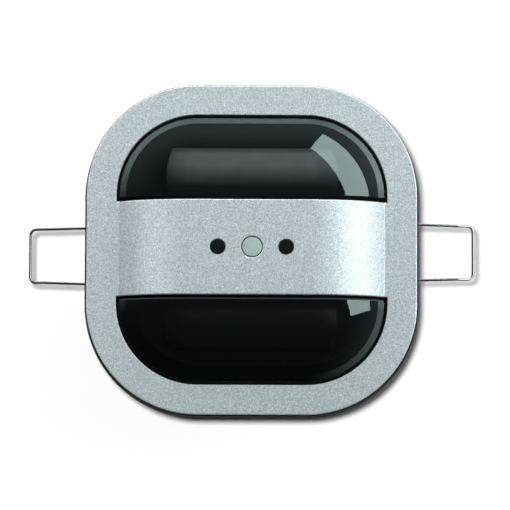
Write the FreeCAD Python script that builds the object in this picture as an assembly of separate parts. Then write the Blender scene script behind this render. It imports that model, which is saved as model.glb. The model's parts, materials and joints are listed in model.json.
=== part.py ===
import FreeCAD, Part
import math
import os

# Ceiling presence detector: a silver rounded-square frame with an arched bridge over a tinted
# window, on a dark base, with a round can behind that goes into the ceiling and two wire springs.
# Millimetres. +Z looks out into the room, Z = 0 is the ceiling, X runs across the two springs.

# Face of the frame
FACE_HALF = 55.0            # half the width of the silver face
FACE_CORNER = 37.1          # corner radius of the silver face
FACE_HEIGHT = 7.6           # silver face above the ceiling
RING_WIDTH = 10.2           # from the outer edge to the window opening
RING_THICKNESS = 1.8
RING_EDGE = 0.5             # rounding of the outer top edge
OPENING_EDGE = 0.35         # rounding of the opening's top edge
SIDE_FLARE = 0.6            # how much wider the frame is at the ceiling than at its face
SKIRT_WALL = 1.2
SKIRT_DEPTH = 2.6

# Bridge across the window
BRIDGE_HALF_WIDTH = 15.75
BRIDGE_RISE = 8.9           # top of the bridge above the silver face
BRIDGE_THICKNESS = 2.0
BRIDGE_STEP = 0.6           # flat ledge between the opening and the foot of the bridge
BRIDGE_EDGE = 0.45
CURVE_MARGIN = 1.0          # the curved border stops this far short of the corner centres
CURVE_FOOT_RUN = 0.096      # first handle of the border curve, as shares of its run and rise
CURVE_FOOT_RISE = 0.37
CURVE_CROWN_RUN = 0.4       # second handle, level with the crown

# Tinted window
WINDOW_GAP = 0.9            # between the window and the ring
BRIDGE_GAP = 1.2            # between the window and the bridge
WINDOW_BELOW_BRIDGE = 1.2   # window crown below the top of the bridge
WINDOW_WALL = 1.8
WINDOW_EDGE_DROP = 0.1      # edge of the window below the silver face
BEVEL_WIDTH = 2.1
BEVEL_RISE = 1.8
SHOULDER_SLOPE = 1.4        # run per rise where the crown leaves the bevel
FLANGE_WIDTH = 2.5
FLANGE_THICKNESS = 1.6

# Button, light sensor and receiver on the bridge
BUTTON_HOLE_RADIUS = 3.55
BUTTON_GAP = 0.2
BUTTON_EDGE = 0.3
BUTTON_STEM_RADIUS = 1.7
BUTTON_TRAVEL = 0.5
EYE_SPACING = 11.26         # light sensor and receiver from the button
EYE_RADIUS = 2.45
EYE_STEM_RADIUS = 1.7
EYE_CROWN = 0.35            # how far the domed eyes stand out of the bridge
COLLAR_WIDTH = 0.9
COLLAR_THICKNESS = 0.7

# Dark base behind the frame
BASE_WALL = 2.4
BASE_FLOOR = 2.4
LEDGE_WIDTH = 3.2

# Lens carrier and the two milky lenses
CARRIER_RISE = 1.2          # carrier plate above the underside of the ring
CARRIER_CLEARANCE = 1.8     # carrier plate inside the curved foot of the channel
CARRIER_THICKNESS = 1.4
CARRIER_WALL = 1.4
CARRIER_LIP = 0.6           # carrier plate beyond its wall
CARRIER_CREST = 3.8         # centre ridge above the carrier plate
LENS_HEIGHT = 5.1
LENS_END_GAP = 16.4         # ends of each lens in from the edge of the window
LENS_OUTER_GAP = 10.9       # outer long side in from the edge of the window
LENS_UNDERLAP = 1.95        # inner long side in under the bridge
LENS_WALL = 0.9
LENS_FOOT_WALL = 1.35       # thicker at the two long feet
LENS_END_BULGE = 1.2
PYRO_CAN_RADIUS = 4.1
PYRO_RIM_RADIUS = 4.6
PYRO_RIM_HEIGHT = 0.5
PYRO_HEIGHT = 4.2
PYRO_WINDOW = 5.2
PYRO_WINDOW_RECESS = 0.4
PYRO_PANE = 0.3

# Boards and what stands on them
BOARD_THICKNESS = 1.6
BOARD_STANDOFF = 0.8
SWITCH_SIZE = 6.0
SWITCH_HEIGHT = 3.4
PLUNGER_RADIUS = 1.6
PLUNGER_HEIGHT = 1.4
LED_LENGTH = 2.0
LED_WIDTH = 1.25
LED_HEIGHT = 0.8
LED_CAP_SHARE = 0.6         # clear cap on the middle of its length
LED_OFFSET = 4.6
DIODE_LENGTH = 4.4
DIODE_WIDTH = 3.4
DIODE_HEIGHT = 1.2
RECEIVER_WIDTH = 5.6
RECEIVER_DEPTH = 4.6
RECEIVER_HEIGHT = 4.4
RECEIVER_EYE_RADIUS = 2.0
BUS_BOARD_DEPTH = 15.0      # top of the bus board below the ceiling plane
HEADER_PINS = 5
PIN_SPACING = 2.54
PIN_SIZE = 0.64
HEADER_POST = 2.5           # height of the moulded strip on each board
HEADER_OFFSET = -14.0
CHIP_SIZE = 7.0
CHIP_HEIGHT = 1.2
CAPACITOR_RADIUS = 4.0
CAPACITOR_HEIGHT = 11.0
CHOKE_RADIUS = 4.5
CHOKE_HEIGHT = 6.0
CHOKE_FLANGE = 0.9

# Can behind the base
CAN_DEPTH = 48.0
CAN_WALL = 2.0
CAN_EDGE = 1.2
CAN_FLANGE_RADIUS = 33.0
CAN_FLANGE_WIDTH = 7.0      # flange beyond the wall of the can
CAN_FLANGE_THICKNESS = 1.8
FLANGE_RECESS = 0.8
SHELF_WIDTH = 2.4
SHELF_THICKNESS = 1.6
RIB_COUNT = 12
RIB_WIDTH = 1.6
RIB_HEIGHT = 0.7
RIB_START = 12.0            # ribs begin this far below the ceiling plane
RIB_END = 6.0               # and stop this far above the bottom of the can
BOX_SCREW_SPACING = 60.0
BOX_HOLE_RADIUS = 1.8
BOX_SCREW_ACCESS = 4.2
CAN_SCREW_INSET = 3.4       # screws of the can in from the edge of its flange
BOARD_SCREW_INSET = 3.0     # board screws in from the edge of the board
CAPACITOR_ANGLE = -40.0
CHOKE_ANGLE = 40.0
SCREW_RADIUS = 1.1
POST_RADIUS = 2.2
SCREW_HEAD_RADIUS = 2.1
SCREW_HEAD_HEIGHT = 1.5
SCREW_SLOT_WIDTH = 0.7
SCREW_SLOT_DEPTH = 0.6
SCREW_HOLE_FLOOR = 0.4      # plastic left under a blind screw hole

# Bus terminal pair in its pocket
POCKET_WIDTH = 13.6
POCKET_LENGTH = 13.6
POCKET_HEIGHT = 24.0
POCKET_OFFSET = 10.5
POCKET_WALL = 1.4
TERMINAL_WIDTH = 5.8
TERMINAL_LENGTH = 12.0
TERMINAL_HEIGHT = 9.6
TERMINAL_HOLE_RADIUS = 0.65
TERMINAL_HOLE_DEPTH = 6.0
TERMINAL_ROWS = 4
TERMINAL_PITCH = 2.73       # between the wire holes
TERMINAL_PIN_RADIUS = 0.5
PIN_ENTRY = 3.0             # length of each pin inside its terminal

# Wire springs
WIRE_RADIUS = 0.475
SPRING_REACH = 74.5         # outer side of the tip from the centre of the face
SPRING_WIDTH = 20.2         # between the legs at the coils
SPRING_TIP_WIDTH = 17.9
SPRING_OFFSET = -0.65       # middle between the two springs along Y
SPRING_STAGGER = 0.85       # the right spring sits this far above it and the left one below
SPRING_BEND = 2.0           # radius of each bend in the loop
SPRING_KINK = 5.0           # the tip drops over this length
SPRING_DROP = 1.2
LEG_DEPTH = 3.0             # legs below the ceiling plane
COIL_RADIUS = 2.0
COIL_TURNS = 2.25
COIL_PITCH = 1.0
TAIL_LENGTH = 4.0
PIN_INSET = 2.0             # spring pin in from the edge of the can's flange
PIN_RADIUS = 1.35
PIN_HEAD_RADIUS = 2.0
PIN_HEAD_HEIGHT = 0.8
LUG_THICKNESS = 1.8
LUG_WIDTH = 4.6
FIT = 0.05                  # radial clearance of a pin or stem in its hole
SMALL_EDGE = 0.4            # rounding or bevel on the small inner parts
SLIP = 0.3                  # clearance between parts that are only laid in place
CUT = 1.0                   # how far a cutting shape runs past a face
TOUCH = 0.01                # tolerance for telling which edge lies where

# Places worked out from the sizes above
CORNER_CENTRE = FACE_HALF - FACE_CORNER
OPENING_HALF = FACE_HALF - RING_WIDTH
RING_BOTTOM = FACE_HEIGHT - RING_THICKNESS
BRIDGE_TOP = FACE_HEIGHT + BRIDGE_RISE
BRIDGE_UNDER = BRIDGE_TOP - BRIDGE_THICKNESS
BRIDGE_HALF = OPENING_HALF - BRIDGE_STEP
WINDOW_HALF = OPENING_HALF - WINDOW_GAP
WINDOW_TOP = BRIDGE_TOP - WINDOW_BELOW_BRIDGE
CURVE_RUN = WINDOW_HALF - CORNER_CENTRE - CURVE_MARGIN
CHANNEL_HALF_WIDTH = BRIDGE_HALF_WIDTH + BRIDGE_GAP
CHANNEL_TOP = BRIDGE_UNDER - SLIP
CHANNEL_HALF = BRIDGE_HALF - BRIDGE_THICKNESS - SLIP
CHANNEL_UNDER = CHANNEL_TOP - WINDOW_WALL
FLANGE_BOTTOM = RING_BOTTOM - FLANGE_THICKNESS
FLANGE_HALF = WINDOW_HALF + FLANGE_WIDTH
CARRIER_HALF = CHANNEL_HALF - WINDOW_WALL - CARRIER_CLEARANCE
CARRIER_TOP = RING_BOTTOM + CARRIER_RISE
BOARD_HALF = CARRIER_HALF - CARRIER_LIP - CARRIER_WALL - SLIP
BOARD_SCREW_REACH = BOARD_HALF - BOARD_SCREW_INSET
LENS_LENGTH = 2 * (WINDOW_HALF - LENS_END_GAP)
LENS_OUTER = WINDOW_HALF - LENS_OUTER_GAP
LENS_INNER = BRIDGE_HALF_WIDTH - LENS_UNDERLAP
LENS_WIDTH = LENS_OUTER - LENS_INNER
LENS_CENTRE = (LENS_OUTER + LENS_INNER) / 2
CAN_RADIUS = CAN_FLANGE_RADIUS - CAN_FLANGE_WIDTH
CAN_SCREW_RADIUS = CAN_FLANGE_RADIUS - CAN_SCREW_INSET
PIN_OFFSET = CAN_FLANGE_RADIUS - PIN_INSET
CARRIER_UNDER = CARRIER_TOP - CARRIER_THICKNESS
BOARD_BOTTOM = BASE_FLOOR + BOARD_STANDOFF
BOARD_TOP = BOARD_BOTTOM + BOARD_THICKNESS
BUS_BOARD_BOTTOM = -BUS_BOARD_DEPTH - BOARD_THICKNESS
COLLAR_BOTTOM = CHANNEL_TOP - COLLAR_THICKNESS
POCKET_TOP = -CAN_DEPTH + POCKET_HEIGHT
PIN_DEPTH = -LEG_DEPTH - COIL_RADIUS
LEG_HALF = SPRING_WIDTH / 2
BOX_SCREW_ANGLE = 45.0
CAN_SCREW_ANGLE = 135.0


def vec(x, y, z):
    return FreeCAD.Vector(x, y, z)


def box(x_low, x_high, y_low, y_high, z_low, z_high):
    return Part.makeBox(x_high - x_low, y_high - y_low, z_high - z_low, vec(x_low, y_low, z_low))


def centred_box(width, length, x, y, z_low, z_high):
    return box(x - width / 2, x + width / 2, y - length / 2, y + length / 2, z_low, z_high)


def rod(radius, z_low, z_high, x=0.0, y=0.0):
    return Part.makeCylinder(radius, z_high - z_low, vec(x, y, z_low))


def rod_along_y(radius, y_low, y_high, x, z):
    return Part.makeCylinder(radius, y_high - y_low, vec(x, y_low, z), vec(0, 1, 0))


def polar(radius, angle):
    turn = math.radians(angle)
    return radius * math.cos(turn), radius * math.sin(turn)


def outline(half, z):
    """Closed rounded square; every outline shares its corner centres with the face."""
    centre = CORNER_CENTRE
    radius = half - centre
    edges = []
    for quarter in range(4):
        turn = FreeCAD.Rotation(vec(0, 0, 1), 90 * quarter)
        side = (vec(half, -centre, z), vec(half, centre, z))
        middle = math.radians(45)
        bulge = vec(centre + radius * math.cos(middle), centre + radius * math.sin(middle), z)
        arc = (vec(half, centre, z), bulge, vec(centre, half, z))
        edges.append(Part.makeLine(*[turn.multVec(p) for p in side]))
        edges.append(Part.Arc(*[turn.multVec(p) for p in arc]).toShape())
    return Part.Wire(edges)


def slab(half, z_low, z_high):
    return Part.Face(outline(half, z_low)).extrude(vec(0, 0, z_high - z_low))


def drafted_slab(half_low, half_high, z_low, z_high):
    return Part.makeLoft([outline(half_low, z_low), outline(half_high, z_high)], True, True)


def edges_at(shape, z, within):
    """Edges that lie flat at height z and don't reach past the given half width."""
    found = []
    for edge in shape.Edges:
        bounds = edge.BoundBox
        reach = max(abs(bounds.XMin), abs(bounds.XMax), abs(bounds.YMin), abs(bounds.YMax))
        if abs(bounds.ZMin - z) < TOUCH and abs(bounds.ZMax - z) < TOUCH and reach < within:
            found.append(edge)
    return found


def side_half(z):
    """Half width of the frame's flared side at height z."""
    return FACE_HALF + SIDE_FLARE * (FACE_HEIGHT - z) / FACE_HEIGHT


def border_curve(foot, crown):
    """The curve that all the arched forms share, from a foot (distance, z) up to the crown."""
    rise = crown - foot[1]
    poles = [
        vec(foot[0], 0, foot[1]),
        vec(foot[0] + CURVE_FOOT_RUN * CURVE_RUN, 0, foot[1] + CURVE_FOOT_RISE * rise),
        vec(foot[0] + CURVE_CROWN_RUN * CURVE_RUN, 0, crown),
        vec(foot[0] + CURVE_RUN, 0, crown),
    ]
    curve = Part.BezierCurve()
    curve.setPoles(poles)
    return curve.toShape()


def arch(half_length, half_width, bottom, foot, crown):
    """Solid under an arched top: straight up from the bottom to the foot, then the border curve."""
    right = border_curve((-half_length, foot), crown)
    left = right.mirror(vec(0, 0, 0), vec(1, 0, 0))
    inner = half_length - CURVE_RUN
    corners = [
        vec(-half_length, 0, foot),
        vec(-half_length, 0, bottom),
        vec(half_length, 0, bottom),
        vec(half_length, 0, foot),
    ]
    edges = [Part.makeLine(a, b) for a, b in zip(corners, corners[1:])]
    edges += [left, Part.makeLine(vec(inner, 0, crown), vec(-inner, 0, crown)), right]
    face = Part.Face(Part.Wire(Part.__sortEdges__(edges)))
    face.translate(vec(0, -half_width, 0))
    return face.extrude(vec(0, 2 * half_width, 0))


def cushion(half, bottom, edge, crown):
    """Rounded-square crowned solid: a bevel at the edge, then a curve up to a flat crown."""
    radius = half - CORNER_CENTRE
    shoulder = edge + BEVEL_RISE
    bend = [
        vec(half - BEVEL_WIDTH, 0, shoulder),
        vec(half - BEVEL_WIDTH - (crown - shoulder) * SHOULDER_SLOPE, 0, crown),
        vec(half - radius + CURVE_MARGIN, 0, crown),
    ]
    curve = Part.BezierCurve()
    curve.setPoles(bend)
    points = [
        vec(half - BEVEL_WIDTH, 0, shoulder),
        vec(half, 0, edge),
        vec(half, 0, bottom),
        vec(half - radius, 0, bottom),
        vec(half - radius, 0, crown),
        vec(half - radius + CURVE_MARGIN, 0, crown),
    ]
    edges = [Part.makeLine(a, b) for a, b in zip(points, points[1:])] + [curve.toShape()]
    section = Part.Face(Part.Wire(Part.__sortEdges__(edges)))
    pieces = [box(-CORNER_CENTRE, CORNER_CENTRE, -CORNER_CENTRE, CORNER_CENTRE, bottom, crown)]
    side = section.copy()
    side.translate(vec(0, -CORNER_CENTRE, 0))
    side = side.extrude(vec(0, 2 * CORNER_CENTRE, 0))
    corner = section.copy()
    corner.translate(vec(0, CORNER_CENTRE, 0))
    corner = corner.revolve(vec(CORNER_CENTRE, CORNER_CENTRE, 0), vec(0, 0, 1), 90)
    for quarter in range(4):
        for piece in (side, corner):
            turned = piece.copy()
            turned.rotate(vec(0, 0, 0), vec(0, 0, 1), 90 * quarter)
            pieces.append(turned)
    return pieces[0].multiFuse(pieces[1:]).removeSplitter()


def screw(x, y, seat, length, up):
    """Slotted pan-head screw whose head stands on the seat and whose shank runs the other way."""
    way = 1 if up else -1
    head = Part.makeCylinder(SCREW_HEAD_RADIUS, SCREW_HEAD_HEIGHT, vec(x, y, seat), vec(0, 0, way))
    rim = [e for e in head.Edges if abs(e.BoundBox.ZMax - seat - way * SCREW_HEAD_HEIGHT) < TOUCH]
    head = head.makeFillet(SMALL_EDGE, [e for e in rim if e.BoundBox.ZLength < TOUCH])
    shank = Part.makeCylinder(SCREW_RADIUS, length, vec(x, y, seat), vec(0, 0, -way))
    top = seat + way * SCREW_HEAD_HEIGHT
    groove = sorted((top - way * SCREW_SLOT_DEPTH, top + way * CUT))
    slot = centred_box(SCREW_SLOT_WIDTH, 3 * SCREW_HEAD_RADIUS, x, y, groove[0], groove[1])
    return head.fuse(shank).removeSplitter().cut(slot)


def cover_frame():
    """Silver ring and bridge, moulded as one."""
    ring = drafted_slab(side_half(RING_BOTTOM), FACE_HALF, RING_BOTTOM, FACE_HEIGHT)
    ring = ring.makeFillet(RING_EDGE, edges_at(ring, FACE_HEIGHT, FACE_HALF + CUT))
    ring = ring.cut(slab(OPENING_HALF, RING_BOTTOM - CUT, FACE_HEIGHT + CUT))
    ring = ring.makeFillet(OPENING_EDGE, edges_at(ring, FACE_HEIGHT, OPENING_HALF + TOUCH))
    skirt_half = side_half(RING_BOTTOM) - BASE_WALL - SLIP
    skirt = slab(skirt_half, RING_BOTTOM - SKIRT_DEPTH, RING_BOTTOM)
    skirt = skirt.cut(slab(skirt_half - SKIRT_WALL, RING_BOTTOM - SKIRT_DEPTH - CUT, RING_BOTTOM))
    bridge = arch(BRIDGE_HALF, BRIDGE_HALF_WIDTH, RING_BOTTOM, FACE_HEIGHT, BRIDGE_TOP)
    top_edges = []
    for edge in bridge.Edges:
        bounds = edge.BoundBox
        if bounds.ZMin > FACE_HEIGHT - TOUCH and bounds.YLength < TOUCH:
            top_edges.append(edge)
    bridge = bridge.makeFillet(BRIDGE_EDGE, top_edges)
    tab_reach = OPENING_HALF + 2 * OPENING_EDGE
    tabs = box(-tab_reach, tab_reach, -BRIDGE_HALF_WIDTH, BRIDGE_HALF_WIDTH, RING_BOTTOM, FACE_HEIGHT)
    frame = ring.multiFuse([skirt, bridge, tabs]).removeSplitter()
    hollow_half = BRIDGE_HALF - BRIDGE_THICKNESS
    hollow_width = BRIDGE_HALF_WIDTH + CUT
    frame = frame.cut(arch(hollow_half, hollow_width, RING_BOTTOM - CUT, RING_BOTTOM, BRIDGE_UNDER))
    frame = frame.cut(rod(BUTTON_HOLE_RADIUS, BRIDGE_UNDER - CUT, BRIDGE_TOP + CUT))
    for side in (-1, 1):
        frame = frame.cut(rod(EYE_RADIUS + FIT, BRIDGE_UNDER - CUT, BRIDGE_TOP + CUT, side * EYE_SPACING))
    return frame


def base_frame():
    """Dark base: flared side wall, floor, ledge for the window and bosses for the board."""
    body = drafted_slab(side_half(0), side_half(RING_BOTTOM), 0, RING_BOTTOM)
    inner_half = side_half(RING_BOTTOM) - BASE_WALL
    body = body.cut(slab(inner_half, BASE_FLOOR, RING_BOTTOM + CUT))
    ledge_half = FLANGE_HALF + SLIP
    ledge = slab(ledge_half, BASE_FLOOR, FLANGE_BOTTOM)
    body = body.fuse(ledge.cut(slab(ledge_half - LEDGE_WIDTH, BASE_FLOOR - CUT, FLANGE_BOTTOM + CUT)))
    for x, y in board_posts():
        body = body.fuse(rod(POST_RADIUS, BASE_FLOOR - SCREW_HOLE_FLOOR, BOARD_BOTTOM, x, y))
    body = body.cut(rod(CAN_FLANGE_RADIUS + SLIP, -CUT, FLANGE_RECESS))
    body = body.cut(rod(CAN_RADIUS - CAN_WALL, -CUT, RING_BOTTOM))
    for turn in (0, 180):
        x, y = polar(BOX_SCREW_SPACING / 2, BOX_SCREW_ANGLE + turn)
        body = body.cut(rod(BOX_HOLE_RADIUS, -CUT, RING_BOTTOM, x, y))
        x, y = polar(CAN_SCREW_RADIUS, CAN_SCREW_ANGLE + turn)
        body = body.cut(rod(SCREW_RADIUS + FIT, -CUT, RING_BOTTOM, x, y))
    for side in (-1, 1):
        x = side * BOARD_SCREW_REACH
        body = body.cut(rod(SCREW_RADIUS + FIT, FLANGE_RECESS + SCREW_HOLE_FLOOR, RING_BOTTOM, x))
    return body.removeSplitter()


def board_posts():
    """Two posts take the board's screws and two more only carry it."""
    return [polar(BOARD_SCREW_REACH, 90 * quarter) for quarter in range(4)]


def window_dome():
    """Tinted window: two crowned fields with a channel for the bridge between them."""
    edge = FACE_HEIGHT - WINDOW_EDGE_DROP
    dome = cushion(WINDOW_HALF, FLANGE_BOTTOM, edge, WINDOW_TOP)
    dome = dome.fuse(slab(FLANGE_HALF, FLANGE_BOTTOM, RING_BOTTOM))
    length = 2 * FLANGE_HALF
    above = centred_box(length, 2 * CHANNEL_HALF_WIDTH, 0, 0, RING_BOTTOM, WINDOW_TOP + CUT)
    floor = arch(CHANNEL_HALF, CHANNEL_HALF_WIDTH + CUT, FLANGE_BOTTOM, RING_BOTTOM, CHANNEL_TOP)
    dome = dome.cut(above.cut(floor))
    inner_top = WINDOW_TOP - WINDOW_WALL
    hollow = cushion(WINDOW_HALF - WINDOW_WALL, FLANGE_BOTTOM - CUT, edge - WINDOW_WALL, inner_top)
    web = CHANNEL_HALF_WIDTH + WINDOW_WALL
    kept = centred_box(length, 2 * web, 0, 0, FLANGE_BOTTOM - 2 * CUT, WINDOW_TOP)
    inside = CHANNEL_HALF - WINDOW_WALL
    kept = kept.cut(arch(inside, web + CUT, FLANGE_BOTTOM - 3 * CUT, RING_BOTTOM, CHANNEL_UNDER))
    dome = dome.cut(hollow.cut(kept))
    dome = dome.cut(rod(BUTTON_STEM_RADIUS + FIT, FLANGE_BOTTOM, WINDOW_TOP))
    button_collar = BUTTON_HOLE_RADIUS + COLLAR_WIDTH
    dome = dome.cut(rod(button_collar + SLIP, COLLAR_BOTTOM - BUTTON_TRAVEL - FIT, WINDOW_TOP))
    for side in (-1, 1):
        x = side * EYE_SPACING
        dome = dome.cut(rod(EYE_STEM_RADIUS + FIT, FLANGE_BOTTOM, WINDOW_TOP, x))
        dome = dome.cut(rod(EYE_RADIUS + COLLAR_WIDTH + SLIP, COLLAR_BOTTOM, WINDOW_TOP, x))
    return dome.removeSplitter()


def program_button():
    """Translucent key: domed head, collar under the bridge and a stem down to the switch."""
    radius = BUTTON_HOLE_RADIUS - BUTTON_GAP
    head = rod(radius, COLLAR_BOTTOM, BRIDGE_TOP)
    head = head.makeFillet(BUTTON_EDGE, edges_at(head, BRIDGE_TOP, radius + CUT))
    collar = rod(BUTTON_HOLE_RADIUS + COLLAR_WIDTH, COLLAR_BOTTOM, CHANNEL_TOP)
    foot = BOARD_TOP + SWITCH_HEIGHT + PLUNGER_HEIGHT
    stem = rod(BUTTON_STEM_RADIUS, foot, COLLAR_BOTTOM)
    return head.multiFuse([collar, stem]).removeSplitter()


def eye(x, foot):
    """Domed dark eye on a stem, with a collar that is trapped under the bridge."""
    ball = (EYE_RADIUS ** 2 + EYE_CROWN ** 2) / (2 * EYE_CROWN)
    cap = Part.makeSphere(ball, vec(0, 0, BRIDGE_TOP + EYE_CROWN - ball))
    head = rod(EYE_RADIUS, COLLAR_BOTTOM, BRIDGE_TOP + EYE_CROWN).common(cap)
    collar = rod(EYE_RADIUS + COLLAR_WIDTH, COLLAR_BOTTOM, CHANNEL_TOP)
    stem = rod(EYE_STEM_RADIUS, foot, COLLAR_BOTTOM)
    shape = head.multiFuse([collar, stem]).removeSplitter()
    shape.translate(vec(x, 0, 0))
    return shape


def lens_carrier():
    """Black chassis: plate with a skirt to the floor and a hollow ridge under the bridge."""
    plate = slab(CARRIER_HALF, CARRIER_UNDER, CARRIER_TOP)
    wall_half = CARRIER_HALF - CARRIER_LIP
    wall = slab(wall_half, BASE_FLOOR, CARRIER_UNDER)
    wall = wall.cut(slab(wall_half - CARRIER_WALL, BASE_FLOOR - CUT, CARRIER_UNDER + CUT))
    ridge_half = LENS_INNER - CARRIER_WALL
    crest = CARRIER_TOP + CARRIER_CREST
    ridge_length = LENS_LENGTH + 2 * CARRIER_WALL
    ridge = centred_box(ridge_length, 2 * ridge_half, 0, 0, CARRIER_UNDER, crest)
    upright = [e for e in ridge.Edges if e.BoundBox.ZLength > CARRIER_CREST]
    ridge = ridge.makeFillet(2 * CARRIER_WALL, upright)
    rim = [e for e in ridge.Edges if e.BoundBox.ZMin > crest - TOUCH]
    ridge = ridge.makeFillet(CARRIER_WALL, rim)
    body = plate.multiFuse([wall, ridge])
    inside = centred_box(
        ridge_length - 2 * CARRIER_WALL,
        2 * (ridge_half - CARRIER_WALL),
        0,
        0,
        CARRIER_UNDER - CUT,
        crest - CARRIER_WALL,
    )
    body = body.cut(inside)
    for side in (-1, 1):
        y = side * LENS_CENTRE
        body = body.cut(rod(PYRO_RIM_RADIUS + SLIP, CARRIER_UNDER - CUT, CARRIER_TOP + CUT, 0, y))
        access = SCREW_HEAD_RADIUS + SLIP
        body = body.cut(rod(access, CARRIER_UNDER - CUT, CARRIER_TOP + CUT, side * BOARD_SCREW_REACH))
        body = body.cut(rod(EYE_STEM_RADIUS + SLIP, CARRIER_TOP, crest + CUT, side * EYE_SPACING))
    return body.cut(rod(BUTTON_STEM_RADIUS + SLIP, CARRIER_TOP, crest + CUT)).removeSplitter()


def lens_form(length, width, height):
    """Part of a barrel lying along X, flat below, with bulged ends."""
    radius = (width ** 2 / 4 + height ** 2) / (2 * height)
    half = length / 2
    end = Part.Arc(
        vec(half - LENS_END_BULGE, radius, 0),
        vec(half - LENS_END_BULGE / 4, radius / 2, 0),
        vec(half, 0, 0),
    ).toShape()
    points = [
        vec(half, 0, 0),
        vec(-half, 0, 0),
        vec(-half + LENS_END_BULGE, radius, 0),
        vec(half - LENS_END_BULGE, radius, 0),
    ]
    other = end.mirror(vec(0, 0, 0), vec(1, 0, 0))
    edges = [Part.makeLine(points[0], points[1]), other, Part.makeLine(points[2], points[3]), end]
    face = Part.Face(Part.Wire(Part.__sortEdges__(edges)))
    barrel = face.revolve(vec(0, 0, 0), vec(1, 0, 0), 360)
    barrel.translate(vec(0, 0, height - radius))
    return barrel.common(centred_box(2 * length, 2 * width, 0, 0, 0, 2 * height))


def lens(side):
    outer = lens_form(LENS_LENGTH, LENS_WIDTH, LENS_HEIGHT)
    inner = lens_form(LENS_LENGTH - 2 * LENS_WALL, LENS_WIDTH - 2 * LENS_FOOT_WALL, LENS_HEIGHT - LENS_WALL)
    inner.translate(vec(0, 0, -TOUCH))
    shape = outer.cut(inner)
    shape.translate(vec(0, side * LENS_CENTRE, CARRIER_TOP))
    return shape


def pyro_sensor(side):
    """Metal can with a rim at its foot and a square window in its top."""
    top = BOARD_TOP + PYRO_HEIGHT
    can = rod(PYRO_CAN_RADIUS, BOARD_TOP, top)
    can = can.makeFillet(SMALL_EDGE, edges_at(can, top, PYRO_CAN_RADIUS + CUT))
    shape = can.fuse(rod(PYRO_RIM_RADIUS, BOARD_TOP, BOARD_TOP + PYRO_RIM_HEIGHT))
    window = centred_box(PYRO_WINDOW, PYRO_WINDOW, 0, 0, top - PYRO_WINDOW_RECESS, top + CUT)
    shape = shape.cut(window)
    shape.translate(vec(0, side * LENS_CENTRE, 0))
    return shape


def pyro_windows():
    """Infrared filters let into the tops of the two sensor cans."""
    panes = []
    floor = BOARD_TOP + PYRO_HEIGHT - PYRO_WINDOW_RECESS
    for side in (-1, 1):
        y = side * LENS_CENTRE
        panes.append(centred_box(PYRO_WINDOW - FIT, PYRO_WINDOW - FIT, 0, y, floor, floor + PYRO_PANE))
    return Part.Compound(panes)


def sensor_board():
    """Board on the base floor, with access holes for the box screws."""
    board = slab(BOARD_HALF, BOARD_BOTTOM, BOARD_TOP)
    for turn in (0, 180):
        x, y = polar(BOX_SCREW_SPACING / 2, BOX_SCREW_ANGLE + turn)
        board = board.cut(rod(BOX_SCREW_ACCESS, 0, FACE_HEIGHT, x, y))
    for side in (-1, 1):
        board = board.cut(rod(SCREW_RADIUS + FIT, 0, FACE_HEIGHT, side * BOARD_SCREW_REACH))
    return board


def switch_body():
    top = BOARD_TOP + SWITCH_HEIGHT
    body = centred_box(SWITCH_SIZE, SWITCH_SIZE, 0, 0, BOARD_TOP, top)
    body = body.makeChamfer(SMALL_EDGE, edges_at(body, top, SWITCH_SIZE))
    return body.cut(rod(PLUNGER_RADIUS + FIT, top - BUTTON_TRAVEL - 2 * SLIP, top + CUT))


def switch_plunger():
    top = BOARD_TOP + SWITCH_HEIGHT
    return rod(PLUNGER_RADIUS, top - SLIP, top + PLUNGER_HEIGHT)


def status_led():
    y = -LED_OFFSET
    base = centred_box(LED_LENGTH, LED_WIDTH, 0, y, BOARD_TOP, BOARD_TOP + LED_HEIGHT / 2)
    cap = centred_box(LED_LENGTH * LED_CAP_SHARE, LED_WIDTH, 0, y, BOARD_TOP, BOARD_TOP + LED_HEIGHT)
    return base.fuse(cap).removeSplitter()


def photodiode():
    top = BOARD_TOP + DIODE_HEIGHT
    body = centred_box(DIODE_LENGTH, DIODE_WIDTH, -EYE_SPACING, 0, BOARD_TOP, top)
    well = rod(DIODE_WIDTH / 3, top - DIODE_HEIGHT / 3, top + CUT, -EYE_SPACING)
    return body.cut(well)


def receiver():
    """Infrared receiver: moulded block with a round eye that looks up the stem."""
    top = BOARD_TOP + RECEIVER_HEIGHT
    body = centred_box(RECEIVER_WIDTH, RECEIVER_DEPTH, EYE_SPACING, 0, BOARD_TOP, top - 2 * SMALL_EDGE)
    body = body.makeChamfer(SMALL_EDGE, [e for e in body.Edges if e.BoundBox.ZLength > RECEIVER_HEIGHT / 2])
    eye_ball = rod(RECEIVER_EYE_RADIUS, BOARD_TOP, top, EYE_SPACING)
    eye_ball = eye_ball.makeFillet(2 * SMALL_EDGE, edges_at(eye_ball, top, EYE_SPACING + RECEIVER_WIDTH))
    return body.fuse(eye_ball).removeSplitter()


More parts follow.
